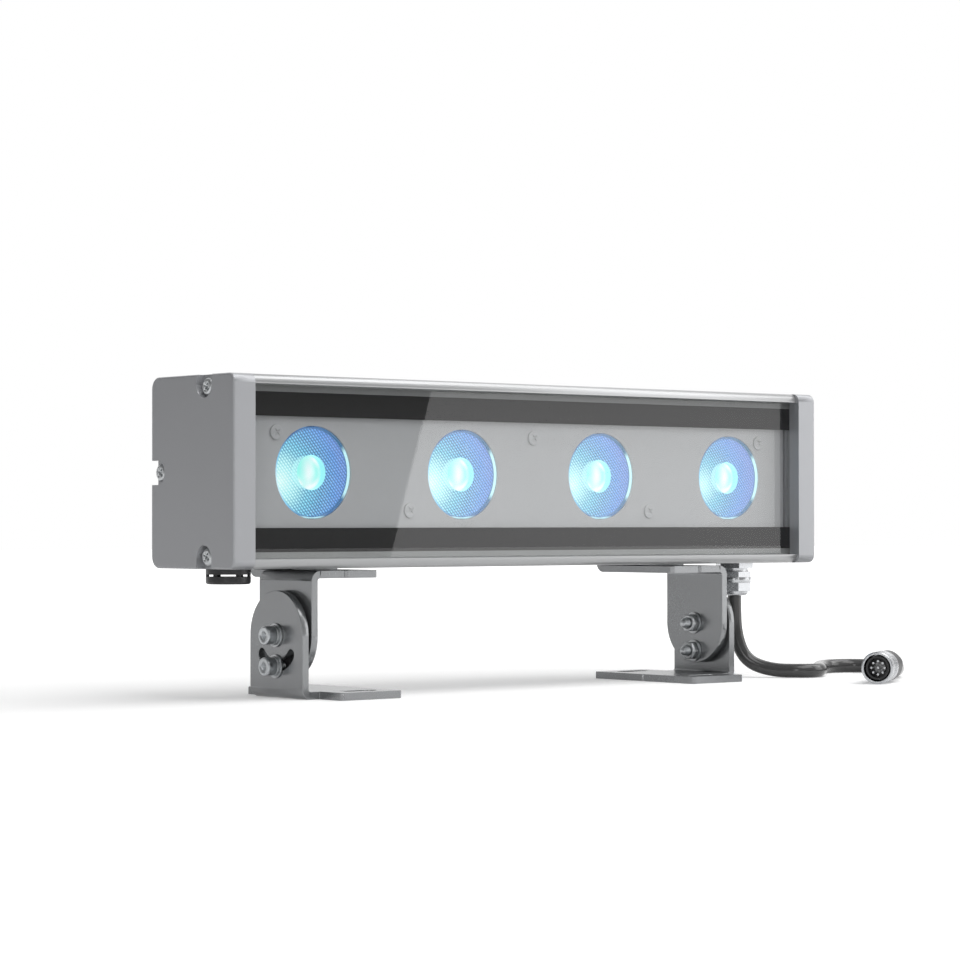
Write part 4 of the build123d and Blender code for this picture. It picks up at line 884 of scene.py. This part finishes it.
# ---- Tilt bolts, washers and nuts ----
# Socket head bolts clamp the legs: one is the pivot, the other locks the tilt in an arc slot.
# Their threaded ends stand out of thin hexagon nuts.
TILT_BOLTS = {"pivot": (0.024, "feet"), "lock": (0.0122, "head")}
STEEL_GREY = (0.52, 0.54, 0.555)
BOLT_SEAT = 0.11565
BOLT_RADIUS = 0.002
BOLT_TIP_SHARE = 0.75
BOLT_LENGTH = 0.0162
BOLT_HEAD = (0.0035, 0.004)
BOLT_HEAD_ROUNDING = 0.0004
BOLT_ROUNDING_RINGS = 5
BOLT_SOCKET = 0.003
BOLT_SOCKET_DEPTH = 0.002
SOCKET_MOUTH_SHARE = 1.06
SOCKET_MOUTH_DEPTH = 0.0001
SOCKET_CONE_DEPTH = 0.0003
THREAD_PITCH = 0.0007
THREAD_DEPTH = 0.00038
THREAD_START = 0.0005
THREAD_END = BOLT_LENGTH - 0.001
RINGS_PER_PITCH = 10
BOLT_SIDES = 48
NUT_FACE = 0.10565
NUT_HEIGHT = 0.0032
NUT_FLATS = 0.007
NUT_CIRCLE_SHARE = 0.47
NUT_CHAMFER = math.radians(30)
WASHER_EDGE = 0.0001


def hexagon_radius(across_flats, angle):
    """The distance from a hexagon's centre to its side at an angle."""
    turned = np.mod(angle, np.pi / 3) - np.pi / 6
    return across_flats / 2 / np.cos(turned)


def socket_bolt_grid():
    """A bolt from its tip to its head: r dips by a wave that climbs one pitch a turn, then the
    head's side and rounded rim, and a hexagon socket."""
    angle = np.linspace(0, 2 * np.pi, BOLT_SIDES, endpoint=False)
    climb = np.arange(THREAD_START, THREAD_END, THREAD_PITCH / RINGS_PER_PITCH)
    phase = 2 * np.pi * climb[:, None] / THREAD_PITCH - angle
    thread = BOLT_RADIUS - THREAD_DEPTH * (0.5 - 0.5 * np.cos(phase))
    radius, height = BOLT_HEAD
    turn = np.linspace(0, np.pi / 2, BOLT_ROUNDING_RINGS)
    rim_radius = radius - BOLT_HEAD_ROUNDING * (1 - np.cos(turn))
    rim_height = height - BOLT_HEAD_ROUNDING * (1 - np.sin(turn))
    top = BOLT_LENGTH + height
    socket_floor = top - BOLT_SOCKET_DEPTH
    socket = hexagon_radius(BOLT_SOCKET, angle)
    plain = np.ones_like(angle)
    r = [AXIS_RING * plain, BOLT_TIP_SHARE * BOLT_RADIUS * plain, *thread, BOLT_RADIUS * plain,
         radius * plain, *(rim_radius[:, None] * plain), SOCKET_MOUTH_SHARE * socket, socket,
         socket, AXIS_RING * plain]
    h = [0, 0, *climb, BOLT_LENGTH, BOLT_LENGTH, *(BOLT_LENGTH + rim_height), top,
         top - SOCKET_MOUTH_DEPTH, socket_floor, socket_floor - SOCKET_CONE_DEPTH]
    return turned_grid(np.stack(r), np.array(h)[:, None], BOLT_SIDES)


def nut_grid():
    """A hexagon nut: both faces end in a circle, from which a cone runs out to the corners."""
    angle = np.linspace(0, 2 * np.pi, BOLT_SIDES, endpoint=False)
    corner = hexagon_radius(NUT_FLATS, angle)
    circle = NUT_CIRCLE_SHARE * NUT_FLATS
    cone = (corner - circle) * math.tan(NUT_CHAMFER)
    plain = np.ones_like(angle)
    bore = BOLT_RADIUS * plain
    r = [bore, circle * plain, corner, corner, circle * plain, bore]
    h = [0 * plain, 0 * plain, cone, NUT_HEIGHT - cone, NUT_HEIGHT * plain, NUT_HEIGHT * plain]
    return turned_grid(np.stack(r), np.stack(h), BOLT_SIDES)


def both_sides(points, x, z):
    """Points at a height z and at both -x and x, with their axes pointing outward."""
    return [faced(points, (side * x, 0, z), (side, 0, 0), (0, 1, 0)) for side in (-1.0, 1.0)]


bolt_points = socket_bolt_grid()
bolt_faces = closed_faces(*bolt_points.shape[:2])
nut_points = nut_grid()
nut_faces = grid_faces(*nut_points.shape[:2], wrap_rows=True)
steel = plated("bright_steel", STEEL_GREY, roughness=0.30, per_metre=900.0)
for use, (z, body) in TILT_BOLTS.items():
    bolts = both_sides(bolt_points, BOLT_SEAT - BOLT_LENGTH, z)
    piece = several(f"{use}_bolts_threaded", bolts, bolt_faces, steel, body)
    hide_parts(f"{use}_bolts")
    nuts = both_sides(nut_points, NUT_FACE - NUT_HEIGHT, z)
    piece = several(f"{use}_nuts_chamfered", nuts, nut_faces, zinc, body)
    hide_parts(f"{use}_nuts")
    dress(zinc, f"{use}_washers")
    break_edges(WASHER_EDGE, f"{use}_washers")


# ---- Round connector ----
# A moulded black grip with a nickel screw ring that spins on it, round an insulating insert with
# a ring of contact pins. The middle of the insert, inside the ring of pins, is mottled grey; its
# greys are made much lighter than the part's own, as painted light where the insert lies in shade.
CONNECTOR_FACE = (0.1326, -0.0815, 0.0067)
CONNECTOR_AXIS = (0.842, 0.539, 0.0)
GRIP_BLACK = (0.03, 0.03, 0.032)
INSERT_BLACK = (0.02, 0.02, 0.021)
INSERT_GREYS_WITH_PAINTED_LIGHT = ((0.26, 0.26, 0.27), (0.80, 0.80, 0.81))
INSERT_MIDDLE = (0.0022, 0.0024)
INSERT_ROUGHNESS = (0.3, 0.5)
INSERT_RELIEF = 0.00003
MOTTLE_PER_METRE = 1500.0
MOTTLE_RANGE = (0.35, 0.65)
RING_EDGE = 0.0001


def vector_of(finish, operation, first, second):
    """The vector that one Vector Math operation makes of two."""
    made = add_node(
        finish, "ShaderNodeVectorMath", {"operation": operation}, _0=first, _1=second)
    return made.outputs["Vector"]


grip_plastic = moulding(
    "black_grip_plastic", GRIP_BLACK, roughness=0.4, per_metre=1300.0, relief=0.00002)
dress(grip_plastic, "connector_body")
insert_plastic, insert_shader = finish_tree("two_tone_insert_with_painted_light")
# The distance from the connector's axis is the length of the cross product with it.
insert_place = object_place(insert_plastic)
from_face = vector_of(insert_plastic, "SUBTRACT", insert_place, CONNECTOR_FACE)
from_axis = vector_of(insert_plastic, "CROSS_PRODUCT", from_face, CONNECTOR_AXIS)
outside = ranged(insert_plastic, length_of(insert_plastic, from_axis), 0, 1, *INSERT_MIDDLE)
mottle = noise(insert_plastic, insert_place, MOTTLE_PER_METRE, detail=3.0)
mottle_share = ranged(insert_plastic, mottle, 0, 1, *MOTTLE_RANGE)
# The middle's light greys are partly painted light, which brightens the insert in its shade.
middle_tone_with_painted_light = mixed(insert_plastic, mottle_share, *INSERT_GREYS_WITH_PAINTED_LIGHT)
insert_tone_and_painted_light = mixed(insert_plastic, outside, middle_tone_with_painted_light, INSERT_BLACK)
surface(
    insert_plastic, insert_shader, insert_tone_and_painted_light,
    ranged(insert_plastic, mottle, *INSERT_ROUGHNESS), mottle, INSERT_RELIEF)
dress(insert_plastic, "connector_insert")
dress(nickel, "coupling_ring", "connector_pins")
break_edges(RING_EDGE, "coupling_ring")
